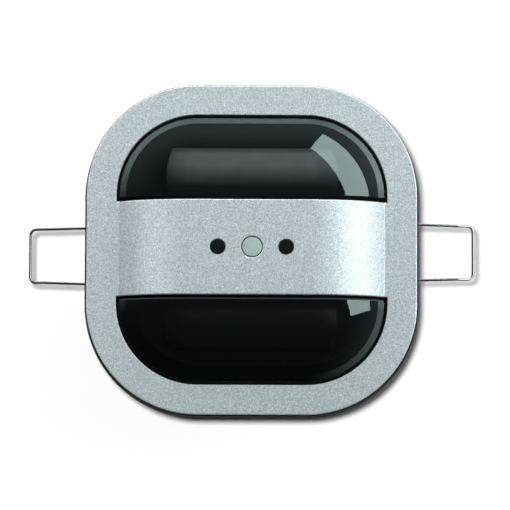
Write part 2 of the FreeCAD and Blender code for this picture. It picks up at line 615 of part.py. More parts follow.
def rear_housing():
    """Round can with its flange, a shelf for the bus board, ribs, spring lugs and the bus pocket."""
    top = FLANGE_RECESS
    can = rod(CAN_RADIUS, -CAN_DEPTH, top)
    can = can.makeFillet(CAN_EDGE, edges_at(can, -CAN_DEPTH, CAN_RADIUS + CUT))
    flange = rod(CAN_FLANGE_RADIUS, top - CAN_FLANGE_THICKNESS, top)
    for turn in (0, 180):
        x, y = polar(BOX_SCREW_SPACING / 2, BOX_SCREW_ANGLE + turn)
        notch = rod(BOX_SCREW_ACCESS, top - CAN_FLANGE_THICKNESS - CUT, top + CUT, x, y)
        outer_x, outer_y = polar(BOX_SCREW_SPACING, BOX_SCREW_ANGLE + turn)
        slot = centred_box(BOX_SCREW_SPACING, 2 * BOX_SCREW_ACCESS, 0, 0, -CAN_DEPTH, top + CUT)
        slot.rotate(vec(0, 0, 0), vec(0, 0, 1), BOX_SCREW_ANGLE + turn)
        slot.translate(vec(outer_x, outer_y, 0))
        flange = flange.cut(notch).cut(slot)
    outer = [can, flange]
    for index in range(RIB_COUNT):
        angle = 360.0 * (index + 0.5) / RIB_COUNT
        rib_length = CAN_RADIUS + RIB_HEIGHT
        rib = centred_box(rib_length, RIB_WIDTH, rib_length / 2, 0, -CAN_DEPTH + RIB_END, -RIB_START)
        rib.rotate(vec(0, 0, 0), vec(0, 0, 1), angle)
        outer.append(rib)
    for side in (-1, 1):
        outer += spring_lugs(side)
    body = outer[0].multiFuse(outer[1:]).removeSplitter()
    inner = CAN_RADIUS - CAN_WALL
    hollow = rod(inner, -CAN_DEPTH + CAN_WALL, top + CUT)
    shelf = rod(inner, BUS_BOARD_BOTTOM - SHELF_THICKNESS, BUS_BOARD_BOTTOM)
    hollow = hollow.cut(shelf.cut(rod(inner - SHELF_WIDTH, -CAN_DEPTH, top)))
    roof = POCKET_TOP + POCKET_WALL
    outer_width = POCKET_WIDTH + 2 * POCKET_WALL
    outer_length = POCKET_LENGTH + 2 * POCKET_WALL
    wall = centred_box(outer_width, outer_length, 0, POCKET_OFFSET, -CAN_DEPTH, roof)
    body = body.cut(hollow.cut(wall))
    pocket = centred_box(POCKET_WIDTH, POCKET_LENGTH, 0, POCKET_OFFSET, -CAN_DEPTH - CUT, POCKET_TOP)
    body = body.cut(pocket)
    for x, y in terminal_places():
        body = body.cut(rod(TERMINAL_PIN_RADIUS + FIT, POCKET_TOP - CUT, roof + CUT, x, y))
    for turn in (0, 180):
        x, y = polar(CAN_SCREW_RADIUS, CAN_SCREW_ANGLE + turn)
        body = body.cut(rod(SCREW_RADIUS + FIT, top - CAN_FLANGE_THICKNESS - CUT, top + CUT, x, y))
    reach = LEG_HALF + WIRE_RADIUS + SLIP + LUG_THICKNESS + CUT
    for side in (-1, 1):
        x = side * PIN_OFFSET
        middle = spring_middle(side)
        body = body.cut(rod_along_y(PIN_RADIUS + FIT, middle - reach, middle + reach, x, PIN_DEPTH))
    return body.removeSplitter()


def spring_middle(side):
    return SPRING_OFFSET + side * SPRING_STAGGER


def spring_lugs(side):
    """Boss between the two coils and an ear outside each, which carry the spring pin."""
    middle = spring_middle(side)
    coil = COIL_TURNS * COIL_PITCH + 2 * WIRE_RADIUS
    inner = LEG_HALF + WIRE_RADIUS - coil - SLIP
    outer = LEG_HALF + WIRE_RADIUS + SLIP
    spans = [(-inner, inner), (outer, outer + LUG_THICKNESS), (-outer - LUG_THICKNESS, -outer)]
    # the ears start where the curved wall of the can is furthest in behind them
    root = math.sqrt((CAN_RADIUS - CAN_WALL / 2) ** 2 - (abs(middle) + outer + LUG_THICKNESS) ** 2)
    lugs = []
    for low, high in spans:
        x_low, x_high = sorted((side * root, side * PIN_OFFSET))
        arm = box(
            x_low,
            x_high,
            middle + low,
            middle + high,
            PIN_DEPTH - LUG_WIDTH / 2,
            PIN_DEPTH + LUG_WIDTH / 2,
        )
        x = side * PIN_OFFSET
        tip = rod_along_y(LUG_WIDTH / 2, middle + low, middle + high, x, PIN_DEPTH)
        lugs.append(arm.fuse(tip))
    return lugs


def spring(side):
    """One wire: a closed loop out to the side, a coil round the pin at each leg and two tails."""
    half = LEG_HALF
    tip_half = SPRING_TIP_WIDTH / 2
    start = PIN_OFFSET
    reach = SPRING_REACH - WIRE_RADIUS
    leg_z = -LEG_DEPTH
    kink = reach - SPRING_KINK
    corners = [
        vec(start, -half, leg_z),
        vec(kink, -tip_half, leg_z),
        vec(reach, -tip_half, leg_z - SPRING_DROP),
        vec(reach, tip_half, leg_z - SPRING_DROP),
        vec(kink, tip_half, leg_z),
        vec(start, half, leg_z),
    ]
    pieces = [tube(rounded_path(corners, SPRING_BEND))]
    for way in (-1, 1):
        pieces.append(coil(way))
        tail_y = way * (LEG_HALF - COIL_TURNS * COIL_PITCH)
        tail_x = PIN_OFFSET - COIL_RADIUS
        low = PIN_DEPTH - TAIL_LENGTH
        pieces.append(rod(WIRE_RADIUS, low, PIN_DEPTH, tail_x, tail_y))
    wire = pieces[0].multiFuse(pieces[1:])
    if side < 0:
        wire = wire.mirror(vec(0, 0, 0), vec(1, 0, 0))
    wire.translate(vec(0, spring_middle(side), 0))
    return wire


def rounded_path(corners, radius):
    """Straight runs joined by arcs of one radius."""
    edges = []
    start = corners[0]
    for index in range(1, len(corners) - 1):
        corner = corners[index]
        back = (corners[index - 1] - corner).normalize()
        ahead = (corners[index + 1] - corner).normalize()
        half_turn = back.getAngle(ahead) / 2
        reach = radius / math.tan(half_turn)
        first = corner + back * reach
        last = corner + ahead * reach
        bisector = (back + ahead).normalize()
        middle = corner + bisector * (radius / math.sin(half_turn) - radius)
        edges.append(Part.makeLine(start, first))
        edges.append(Part.Arc(first, middle, last).toShape())
        start = last
    edges.append(Part.makeLine(start, corners[-1]))
    return Part.Wire(edges)


def tube(path):
    first = path.OrderedEdges[0]
    start = first.valueAt(first.FirstParameter)
    along = first.tangentAt(first.FirstParameter)
    ring = Part.Wire(Part.Circle(start, along, WIRE_RADIUS).toShape())
    return path.makePipeShell([ring], True, False)


def coil(way):
    """Turns of wire round the pin, from the leg inwards to the tail."""
    helix = Part.makeHelix(COIL_PITCH, COIL_PITCH * COIL_TURNS, COIL_RADIUS)
    first = helix.Edges[0]
    start = first.valueAt(first.FirstParameter)
    along = first.tangentAt(first.FirstParameter)
    ring = Part.Wire(Part.Circle(start, along, WIRE_RADIUS).toShape())
    turns = Part.Wire(helix.Edges).makePipeShell([ring], True, True)
    # the helix climbs along Z from X; it is laid along Y with its start on top, at the leg
    turns.rotate(vec(0, 0, 0), vec(0, 0, 1), 90)
    turns.rotate(vec(0, 0, 0), vec(1, 0, 0), 90)
    turns.translate(vec(PIN_OFFSET, LEG_HALF, PIN_DEPTH))
    if way < 0:
        turns = turns.mirror(vec(0, 0, 0), vec(0, 1, 0))
    return turns


def spring_pin(side):
    reach = LEG_HALF + WIRE_RADIUS + SLIP + LUG_THICKNESS
    low = spring_middle(side) - reach
    high = spring_middle(side) + reach
    x = side * PIN_OFFSET
    shaft = rod_along_y(PIN_RADIUS, low, high, x, PIN_DEPTH)
    low_head = rod_along_y(PIN_HEAD_RADIUS, low - PIN_HEAD_HEIGHT, low, x, PIN_DEPTH)
    high_head = rod_along_y(PIN_HEAD_RADIUS, high, high + PIN_HEAD_HEIGHT, x, PIN_DEPTH)
    return shaft.multiFuse([low_head, high_head]).removeSplitter()


def bus_board():
    return rod(CAN_RADIUS - CAN_WALL - SLIP, BUS_BOARD_BOTTOM, -BUS_BOARD_DEPTH)


def link_header():
    """Pins between the two boards, with a moulded strip on each board."""
    length = HEADER_PINS * PIN_SPACING
    low_top = -BUS_BOARD_DEPTH + HEADER_POST
    low = centred_box(PIN_SPACING, length, HEADER_OFFSET, 0, -BUS_BOARD_DEPTH, low_top)
    high = centred_box(PIN_SPACING, length, HEADER_OFFSET, 0, BOARD_BOTTOM - HEADER_POST, BOARD_BOTTOM)
    pins = []
    for index in range(HEADER_PINS):
        y = (index - (HEADER_PINS - 1) / 2) * PIN_SPACING
        pins.append(centred_box(PIN_SIZE, PIN_SIZE, HEADER_OFFSET, y, -BUS_BOARD_DEPTH, BOARD_BOTTOM))
    return low.multiFuse([high] + pins).removeSplitter()


def bus_chip():
    return centred_box(CHIP_SIZE, CHIP_SIZE, 0, 0, -BUS_BOARD_DEPTH, -BUS_BOARD_DEPTH + CHIP_HEIGHT)


def storage_capacitor():
    x, y = polar(CAN_RADIUS - CAN_WALL - 2 * CAPACITOR_RADIUS, CAPACITOR_ANGLE)
    top = -BUS_BOARD_DEPTH + CAPACITOR_HEIGHT
    can = rod(CAPACITOR_RADIUS, -BUS_BOARD_DEPTH, top, x, y)
    return can.makeFillet(SMALL_EDGE, [e for e in can.Edges if e.BoundBox.ZMin > top - TOUCH])


def bus_choke():
    x, y = polar(CAN_RADIUS - CAN_WALL - 2 * CHOKE_RADIUS, CHOKE_ANGLE)
    bottom = -BUS_BOARD_DEPTH
    flanges = [rod(CHOKE_RADIUS, bottom, bottom + CHOKE_FLANGE, x, y)]
    flanges.append(rod(CHOKE_RADIUS, bottom + CHOKE_HEIGHT - CHOKE_FLANGE, bottom + CHOKE_HEIGHT, x, y))
    drum = rod(CHOKE_RADIUS - CHOKE_FLANGE, bottom, bottom + CHOKE_HEIGHT, x, y)
    return drum.multiFuse(flanges).removeSplitter()


def bus_terminal(side):
    """One half of the plug-in terminal, with its four wire holes looking out of the pocket."""
    x = side * TERMINAL_WIDTH / 2
    width = TERMINAL_WIDTH - FIT
    low = POCKET_TOP - TERMINAL_HEIGHT
    body = centred_box(width, TERMINAL_LENGTH, x, POCKET_OFFSET, low, POCKET_TOP)
    upright = [e for e in body.Edges if e.BoundBox.ZLength > TERMINAL_HEIGHT / 2]
    body = body.makeChamfer(SMALL_EDGE, upright)
    for column in (-1, 1):
        for row in range(TERMINAL_ROWS):
            y = POCKET_OFFSET + (row - (TERMINAL_ROWS - 1) / 2) * TERMINAL_PITCH
            hole_x = x + column * TERMINAL_WIDTH / 4
            body = body.cut(rod(TERMINAL_HOLE_RADIUS, low - CUT, low + TERMINAL_HOLE_DEPTH, hole_x, y))
    for pin_x, pin_y in terminal_places():
        socket = rod(TERMINAL_PIN_RADIUS + FIT, POCKET_TOP - PIN_ENTRY, POCKET_TOP + CUT, pin_x, pin_y)
        body = body.cut(socket)
    return body


def terminal_pins():
    pins = []
    for x, y in terminal_places():
        pins.append(rod(TERMINAL_PIN_RADIUS, POCKET_TOP - PIN_ENTRY + FIT, BUS_BOARD_BOTTOM, x, y))
    return Part.Compound(pins)


def housing_screws():
    """Two screws from behind, through the can's flange into the base."""
    seat = FLANGE_RECESS - CAN_FLANGE_THICKNESS
    screws = []
    for turn in (0, 180):
        x, y = polar(CAN_SCREW_RADIUS, CAN_SCREW_ANGLE + turn)
        screws.append(screw(x, y, seat, BASE_FLOOR - seat, False))
    return Part.Compound(screws)


def board_screws():
    """Two screws down through the sensor board into the posts of the base."""
    length = BOARD_TOP - FLANGE_RECESS - 2 * SCREW_HOLE_FLOOR
    return Part.Compound([screw(side * BOARD_SCREW_REACH, 0, BOARD_TOP, length, True) for side in (-1, 1)])


def terminal_places():
    """The four pins: two under each terminal half."""
    places = []
    for side in (-1, 1):
        for way in (-1, 1):
            places.append((side * TERMINAL_WIDTH / 2, POCKET_OFFSET + way * TERMINAL_LENGTH / 4))
    return places


def build():
    diode_eye = BOARD_TOP + DIODE_HEIGHT + SLIP
    receiver_eye = BOARD_TOP + RECEIVER_HEIGHT + SLIP
    return {
        "cover_frame": cover_frame(),
        "base_frame": base_frame(),
        "window_dome": window_dome(),
        "program_button": program_button(),
        "light_sensor_eye": eye(-EYE_SPACING, diode_eye),
        "receiver_eye": eye(EYE_SPACING, receiver_eye),
        "lens_carrier": lens_carrier(),
        "upper_lens": lens(1),
        "lower_lens": lens(-1),
        "upper_pyro_sensor": pyro_sensor(1),
        "lower_pyro_sensor": pyro_sensor(-1),
        "pyro_windows": pyro_windows(),
        "sensor_board": sensor_board(),
        "button_switch": switch_body(),
        "switch_plunger": switch_plunger(),
        "status_led": status_led(),
        "photodiode": photodiode(),
        "infrared_receiver": receiver(),
        "link_header": link_header(),
        "bus_board": bus_board(),
        "bus_chip": bus_chip(),
        "storage_capacitor": storage_capacitor(),
        "bus_choke": bus_choke(),
        "rear_housing": rear_housing(),
        "red_bus_terminal": bus_terminal(1),
        "grey_bus_terminal": bus_terminal(-1),
        "terminal_pins": terminal_pins(),
        "left_spring": spring(-1),
        "right_spring": spring(1),
        "left_spring_pin": spring_pin(-1),
        "right_spring_pin": spring_pin(1),
        "housing_screws": housing_screws(),
        "board_screws": board_screws(),
    }


os.makedirs("parts", exist_ok=True)
for name, shape in build().items():
    shape.exportStep("parts/" + name + ".step")
    print(name, len(shape.Solids), round(shape.Volume, 2), shape.isValid())
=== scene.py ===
import json
import math
import bmesh
import bpy
from mathutils import Matrix, Vector


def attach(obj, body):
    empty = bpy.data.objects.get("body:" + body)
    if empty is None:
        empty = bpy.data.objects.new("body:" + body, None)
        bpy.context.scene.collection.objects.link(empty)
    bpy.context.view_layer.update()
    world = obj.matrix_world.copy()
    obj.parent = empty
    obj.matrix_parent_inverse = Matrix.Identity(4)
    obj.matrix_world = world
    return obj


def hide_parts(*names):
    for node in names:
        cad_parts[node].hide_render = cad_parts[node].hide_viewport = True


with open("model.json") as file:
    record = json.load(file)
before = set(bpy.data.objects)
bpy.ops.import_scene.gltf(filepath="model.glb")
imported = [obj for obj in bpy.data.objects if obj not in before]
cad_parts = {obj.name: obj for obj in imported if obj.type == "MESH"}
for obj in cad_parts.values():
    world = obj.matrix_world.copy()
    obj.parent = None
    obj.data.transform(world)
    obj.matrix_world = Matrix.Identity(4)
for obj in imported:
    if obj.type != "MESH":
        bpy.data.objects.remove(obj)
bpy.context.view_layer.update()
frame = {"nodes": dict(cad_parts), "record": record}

scene = bpy.context.scene
nodes = frame["nodes"]
mm = 0.001
weld = 2e-6  # metres within which two points are one
print("frame loaded")

# the sizes that several pieces share, in millimetres
sizes = {
    "faceHalf": 55.0, "faceHeight": 7.6, "cornerCentre": 17.9,
    "openingHalf": 44.95, "ringBottom": 5.8, "flare": 0.6,
    "windowHalf": 43.9, "windowEdge": 7.5, "windowCrown": 15.3,
    "bridgeHalf": 43.9, "bridgeHalfWidth": 15.75, "bridgeTop": 16.5,
    "eyeSpacing": 11.26, "floor": -48.0,
}


# camera
cameraSetup = {"distance": 1200.0, "lens": 255.7, "sensor": 36, "leanDown": 5.75, "leanLeft": 0.2,
               "roll": 0.22, "aim": (1.07, -1.87, 7.6), "clip": (0.05, 20)}


def makeCamera():
    aim = Vector(cameraSetup["aim"]) * mm
    down = math.radians(cameraSetup["leanDown"])
    left = math.radians(cameraSetup["leanLeft"])
    toCamera = Vector((-math.sin(left), -math.sin(down), math.cos(down))).normalized()
    data = bpy.data.cameras.new("frontCamera")
    data.lens = cameraSetup["lens"]
    data.sensor_width = cameraSetup["sensor"]
    data.clip_start, data.clip_end = cameraSetup["clip"]
    camera = bpy.data.objects.new("frontCamera", data)
    scene.collection.objects.link(camera)
    camera.rotation_mode = "QUATERNION"
    across = Vector((0, 1, 0)).cross(toCamera).normalized()
    upward = toCamera.cross(across)
    turn = Matrix((across, upward, toCamera)).transposed()
    roll = Matrix.Rotation(math.radians(cameraSetup["roll"]), 3, toCamera)
    camera.rotation_quaternion = (roll @ turn).to_quaternion()
    camera.location = aim + toCamera * cameraSetup["distance"] * mm
    scene.camera = camera


makeCamera()
print("camera set")


# material tools; a noise is a scale per metre, a detail and a roughness
# a bump is a strength and a depth in metres
def startMaterial(name, color, roughness, metallic=0.0, **sockets):
    material = bpy.data.materials.new(name)
    material.use_nodes = True
    tree = material.node_tree
    shader = tree.nodes["Principled BSDF"]
    shader.inputs["Base Color"].default_value = (*color, 1)
    shader.inputs["Roughness"].default_value = roughness
    shader.inputs["Metallic"].default_value = metallic
    for label, value in sockets.items():
        shader.inputs[label].default_value = value
    place = tree.nodes.new("ShaderNodeTexCoord").outputs["Object"]
    return material, tree, shader, place


def addNoise(tree, place, scale, detail=2.0, roughness=0.5):
    noise = tree.nodes.new("ShaderNodeTexNoise")
    noise.inputs["Scale"].default_value = scale
    noise.inputs["Detail"].default_value = detail
    noise.inputs["Roughness"].default_value = roughness
    tree.links.new(place, noise.inputs["Vector"])
    return noise.outputs["Fac"]


def addCells(tree, place, scale):
    cells = tree.nodes.new("ShaderNodeTexVoronoi")
    cells.inputs["Scale"].default_value = scale
    tree.links.new(place, cells.inputs["Vector"])
    return cells.outputs["Color"]


def spread(tree, value, low, high, fromLow=0.0, fromHigh=1.0):
    node = tree.nodes.new("ShaderNodeMapRange")
    node.inputs["From Min"].default_value = fromLow
    node.inputs["From Max"].default_value = fromHigh
    node.inputs["To Min"].default_value = low
    node.inputs["To Max"].default_value = high
    tree.links.new(value, node.inputs["Value"])
    return node.outputs["Result"]


def addMath(tree, operation, *values):
    node = tree.nodes.new("ShaderNodeMath")
    node.operation = operation
    for socket, value in zip(node.inputs, values):
        if isinstance(value, float):
            socket.default_value = value
        else:
            tree.links.new(value, socket)
    return node.outputs[0]


def blendColors(tree, factor, first, second):
    node = tree.nodes.new("ShaderNodeMix")
    node.data_type = "RGBA"
    if isinstance(factor, float):
        node.inputs[0].default_value = factor
    else:
        tree.links.new(factor, node.inputs[0])
    for socket, value in ((node.inputs[6], first), (node.inputs[7], second)):
        if isinstance(value, tuple):
            socket.default_value = (*value, 1)
        else:
            tree.links.new(value, socket)
    return node.outputs[2]


def paint(tree, shader, factor, first, second):
    tree.links.new(blendColors(tree, factor, first, second), shader.inputs["Base Color"])


def addBump(tree, shader, height, strength, distance, before=None):
    bump = tree.nodes.new("ShaderNodeBump")
    bump.inputs["Strength"].default_value = strength
    bump.inputs["Distance"].default_value = distance
    tree.links.new(height, bump.inputs["Height"])
    if before is not None:
        tree.links.new(before, bump.inputs["Normal"])
    tree.links.new(bump.outputs["Normal"], shader.inputs["Normal"])
    return bump.outputs["Normal"]


lacquer = {"color": (0.5, 0.56, 0.58), "roughness": 0.42, "roughnessRange": (0.39, 0.53), "metallic": 0.5,
           "coat": {"Coat Weight": 0.15, "Coat Roughness": 0.35}, "flakes": 4200, "clouds": (2400, 2.0, 0.6),
           "darkFlake": (0.30, 0.350, 0.365), "paleFlake": (0.75, 0.83, 0.85), "even": (0.51, 0.575, 0.59),
           "evenShare": 0.5, "cloudRange": (0.35, 0.65), "sparkle": (0.88, 0.94, 0.96), "sparkleFrom": 0.86,
           "peel": (420, 1.0), "peelBump": (0.05, 0.0002), "flakeBump": (0.18, 0.00004)}


def silverLacquer():
    k = lacquer
    material, tree, shader, place = startMaterial("silverLacquer", k["color"], k["roughness"], k["metallic"],
                                                  **k["coat"])
    cloud = addNoise(tree, place, *k["clouds"])
    flake = tree.nodes.new("ShaderNodeSeparateColor")
    tree.links.new(addCells(tree, place, k["flakes"]), flake.inputs["Color"])
    fine = blendColors(tree, flake.outputs["Green"], k["darkFlake"], k["paleFlake"])
    fine = blendColors(tree, spread(tree, cloud, 0.0, k["evenShare"], *k["cloudRange"]), fine, k["even"])
    paint(tree, shader, spread(tree, flake.outputs["Red"], 0.0, 1.0, k["sparkleFrom"], 1.0), fine, k["sparkle"])
    tree.links.new(spread(tree, flake.outputs["Blue"], *k["roughnessRange"]), shader.inputs["Roughness"])
    peel = addBump(tree, shader, addNoise(tree, place, *k["peel"]), *k["peelBump"])
    addBump(tree, shader, flake.outputs["Blue"], *k["flakeBump"], peel)
    return material


moulding = {"clouds": (160, 3.0, 0.55), "cloudRange": (0.3, 0.7), "erosion": (2.0, 0.6),
            "smoother": 0.06, "rougher": 0.08, "depth": 0.00006}


def mouldedPlastic(name, dark, light, roughness, grain=2600, strength=0.25, **sockets):
    k = moulding
    material, tree, shader, place = startMaterial(name, dark, roughness, **sockets)
    cloud = addNoise(tree, place, *k["clouds"])
    paint(tree, shader, spread(tree, cloud, 0.0, 1.0, *k["cloudRange"]), dark, light)
    erosion = addNoise(tree, place, grain, *k["erosion"])
    tree.links.new(spread(tree, erosion, roughness - k["smoother"], roughness + k["rougher"]),
                   shader.inputs["Roughness"])
    addBump(tree, shader, erosion, strength, k["depth"])
    return material


tinted = {"color": (0.002, 0.004, 0.006), "dark": (0.0015, 0.0035, 0.0055), "light": (0.0025, 0.0045, 0.0065),
          "roughness": 0.03, "roughnessRange": (0.02, 0.05), "hazeRange": (0.35, 0.75), "haze": (90, 4.0, 0.6),
          "clouds": (30, 2.0), "waves": (26, 1.0), "waveBump": (0.03, 0.0004),
          "gloss": {"Alpha": 0.58, "IOR": 1.62, "Specular IOR Level": 1.0, "Specular Tint": (0.80, 1.0, 1.0, 1)}}
tintedInside = {"color": (0.01, 0.013, 0.015), "dark": (0.008, 0.011, 0.013), "light": (0.012, 0.015, 0.017),
                "roughness": 0.2, "clouds": (60, 2.0), "gloss": {"Alpha": 0.1, "Specular IOR Level": 0.2}}


def tintedWindow():
    k = tinted
    material, tree, shader, place = startMaterial("tintedWindow", k["color"], k["roughness"], **k["gloss"])
    haze = addNoise(tree, place, *k["haze"])
    tree.links.new(spread(tree, haze, *k["roughnessRange"], *k["hazeRange"]), shader.inputs["Roughness"])
    paint(tree, shader, addNoise(tree, place, *k["clouds"]), k["dark"], k["light"])
    addBump(tree, shader, addNoise(tree, place, *k["waves"]), *k["waveBump"])
    return material


def windowInside():
    k = tintedInside
    material, tree, shader, place = startMaterial("windowInside", k["color"], k["roughness"], **k["gloss"])
    paint(tree, shader, addNoise(tree, place, *k["clouds"]), k["dark"], k["light"])
    return material


# a fade is painted shade: an axis, the share of painted light at a first and a second distance from the middle, and
# these in metres
film = {"paintedFades": (("Y", 0.0, 1.0, 0.0206, 0.0275), ("Y", 1.0, 0.5, 0.0319, 0.0328),
                  ("X", 1.0, 0.45, 0.0205, 0.0284)),
        "clouds": (220, 3.0), "mottle": 0.35, "gloss": {"Specular IOR Level": 0.4}, "cellBump": (0.12, 0.00006),
        "cells": {"Scale": 130, "Mortar Size": 0.012, "Mortar Smooth": 0.6}}


def addBricks(tree, place, sockets):
    bricks = tree.nodes.new("ShaderNodeTexBrick")
    for label, value in sockets.items():
        bricks.inputs[label].default_value = value
    tree.links.new(place, bricks.inputs["Vector"])
    return bricks


def lensFilm(name, shade, light, roughness):
    material, tree, shader, place = startMaterial(name, light, roughness, **film["gloss"])
    cloud = addNoise(tree, place, *film["clouds"])
    side = tree.nodes.new("ShaderNodeSeparateXYZ")
    tree.links.new(place, side.inputs[0])
    # painted shade: the film's colour darkens beside the bridge, along its outer edge and towards its ends, where
    # shade falls on the lens
    share = None
    for axis, low, high, first, last in film["paintedFades"]:
        reach = addMath(tree, "ABSOLUTE", side.outputs[axis])
        fade = spread(tree, reach, low, high, first, last)
        share = fade if share is None else addMath(tree, "MULTIPLY", share, fade)
    paint(tree, shader, spread(tree, cloud, 0.0, film["mottle"]), blendColors(tree, share, shade, light), shade)
    cells = addBricks(tree, place, film["cells"])
    addBump(tree, shader, cells.outputs["Fac"], *film["cellBump"])
    return material


pressKey = {"color": (0.5, 0.57, 0.54), "dark": (0.46, 0.57, 0.54), "light": (0.60, 0.71, 0.68),
            "roughness": 0.28, "clouds": (500, 2.0), "grain": (1600, 1.0), "grainBump": (0.06, 0.00004),
            "depth": {"Subsurface Weight": 0.3, "Subsurface Scale": 0.001,
                      "Coat Weight": 0.4, "Coat Roughness": 0.1}}


def keyPlastic():
    k = pressKey
    material, tree, shader, place = startMaterial("keyPlastic", k["color"], k["roughness"], **k["depth"])
    paint(tree, shader, addNoise(tree, place, *k["clouds"]), k["dark"], k["light"])
    addBump(tree, shader, addNoise(tree, place, *k["grain"]), *k["grainBump"])
    return material


darkGloss = {"roughness": 0.16, "roughnessRange": (0.12, 0.20), "clouds": (700, 2.0),
             "gloss": {"Specular IOR Level": 0.35}}


def glossFilter(name, dark, light):
    k = darkGloss
    material, tree, shader, place = startMaterial(name, dark, k["roughness"], **k["gloss"])
    cloud = addNoise(tree, place, *k["clouds"])
    paint(tree, shader, cloud, dark, light)
    tree.links.new(spread(tree, cloud, *k["roughnessRange"]), shader.inputs["Roughness"])
    return material


etched = {"color": (0.01, 0.07, 0.03), "roughness": 0.3, "weave": (900, 2.0), "weaveShare": 0.25,
          "weaveDark": (0.006, 0.05, 0.02), "weaveLight": (0.016, 0.09, 0.04), "trackBump": (0.3, 0.00005),
          "tracks": {"Scale": 260, "Mortar Size": 0.045, "Color1": (0.010, 0.072, 0.032, 1),
                     "Color2": (0.012, 0.080, 0.036, 1), "Mortar": (0.030, 0.150, 0.060, 1)}}


def circuitBoard():
    k = etched
    material, tree, shader, place = startMaterial("circuitBoard", k["color"], k["roughness"])
    tracks = addBricks(tree, place, k["tracks"])
    weave = blendColors(tree, addNoise(tree, place, *k["weave"]), k["weaveDark"], k["weaveLight"])
    paint(tree, shader, k["weaveShare"], tracks.outputs["Color"], weave)
    addBump(tree, shader, tracks.outputs["Fac"], *k["trackBump"])
    return material


plating = {"clouds": (3.0, 0.6), "smoother": 0.08, "rougher": 0.1, "finer": 3, "depth": 0.00003}


def platedMetal(name, dark, light, roughness, grain=900, strength=0.1):
    k = plating
    material, tree, shader, place = startMaterial(name, dark, roughness, 1.0)
    cloud = addNoise(tree, place, grain, *k["clouds"])
    paint(tree, shader, cloud, dark, light)
    tree.links.new(spread(tree, cloud, roughness - k["smoother"], roughness + k["rougher"]),
                   shader.inputs["Roughness"])
    addBump(tree, shader, addNoise(tree, place, grain * k["finer"]), strength, k["depth"])
    return material


# materials: a dark and a light shade, a roughness, then grain and its strength where they differ
silver = silverLacquer()
anthracite = mouldedPlastic("anthracitePlastic", (0.005, 0.007, 0.008), (0.009, 0.012, 0.013), 0.74,
                            **{"Specular IOR Level": 0.04})
housingGrey = mouldedPlastic("housingPlastic", (0.030, 0.033, 0.035), (0.045, 0.048, 0.050), 0.52, 2200, 0.4)
black = mouldedPlastic("blackMoulding", (0.004, 0.005, 0.006), (0.007, 0.008, 0.009), 0.6,
                       **{"Specular IOR Level": 0.12})
# painted highlight: a lighter satin colour for the thin line of light along the lower window's bevel beside the
# bridge
paintedHighlightRim = mouldedPlastic("paintedHighlightRim", (0.045, 0.055, 0.058), (0.055, 0.065, 0.068), 0.34)
redTerminal = mouldedPlastic("redTerminal", (0.36, 0.012, 0.010), (0.46, 0.02, 0.016), 0.32, 2000, 0.1)
greyTerminal = mouldedPlastic("greyTerminal", (0.030, 0.032, 0.035), (0.045, 0.047, 0.05), 0.34, 2000, 0.1)
smoked = tintedWindow()
smokedInside = windowInside()
# the upper lens has the lit film; the lower lens has a nearly black copy of it, painted shade for the shade the
# bridge casts on it
milky = lensFilm("milkyLens", (0.02, 0.03, 0.035), (0.57, 0.66, 0.68), 0.45)
shadedLensFilm = lensFilm("paintedShadeLens", (0.002, 0.003, 0.005), (0.006, 0.009, 0.012), 0.4)
key = keyPlastic()
eyeFilter = glossFilter("eyeFilter", (0.006, 0.009, 0.010), (0.012, 0.016, 0.018))
paneFilter = glossFilter("paneFilter", (0.03, 0.026, 0.022), (0.05, 0.045, 0.04))
board = circuitBoard()
sensorCan = platedMetal("nickelCan", (0.50, 0.49, 0.46), (0.62, 0.61, 0.58), 0.3)
zinc = platedMetal("zincSteel", (0.48, 0.49, 0.50), (0.62, 0.63, 0.64), 0.32)
wireSteel = platedMetal("springSteel", (0.31, 0.32, 0.325), (0.43, 0.44, 0.445), 0.2, 1500, 0.06)

slotMaterials = {
    "silver_lacquer": silver, "anthracite_plastic": anthracite, "tinted_window": smoked,
    "key_plastic": key, "dark_filter": eyeFilter, "black_plastic": black, "lens_film": milky,
    "nickel_can": sensorCan, "filter_glass": paneFilter, "circuit_board": board,
    "housing_plastic": housingGrey, "red_plastic": redTerminal, "grey_plastic": greyTerminal,
    "tinned_metal": zinc, "spring_wire": wireSteel,
}
slotOf = {part["node"]: part["material_slot"] for part in frame["record"]["subparts"]}
for name, node in nodes.items():
    for holder in node.material_slots:
        holder.material = slotMaterials[slotOf[name]]
print("materials made")


# mesh tools
def addObject(name, mesh, material):
    obj = bpy.data.objects.new(name, mesh)
    scene.collection.objects.link(obj)
    if material is not None and not obj.data.materials:
        obj.data.materials.append(material)
    return obj


def fromBmesh(name, shape, material):
    mesh = bpy.data.meshes.new(name)
    shape.to_mesh(mesh)
    shape.free()
    return addObject(name, mesh, material)


def applyModifiers(obj):
    graph = bpy.context.evaluated_depsgraph_get()
    mesh = bpy.data.meshes.new_from_object(obj.evaluated_get(graph))
    obj.modifiers.clear()
    obj.data = mesh


def tidyMesh(obj, angle=32, turn=True):
    shape = bmesh.new()
    shape.from_mesh(obj.data)
    bmesh.ops.remove_doubles(shape, verts=shape.verts, dist=weld)
    if turn:
        bmesh.ops.recalc_face_normals(shape, faces=shape.faces)
    shape.to_mesh(obj.data)
    shape.free()
    obj.data.shade_smooth()
    obj.data.set_sharp_from_angle(angle=math.radians(angle))


def weightNormals(obj):
    modifier = obj.modifiers.new("evenFaces", "WEIGHTED_NORMAL")
    modifier.keep_sharp = True
    applyModifiers(obj)


def boolean(obj, other, operation):
    modifier = obj.modifiers.new("cut", "BOOLEAN")
    modifier.solver = "EXACT"
    modifier.operation = operation
    modifier.object = other
    applyModifiers(obj)
    bpy.data.objects.remove(other)


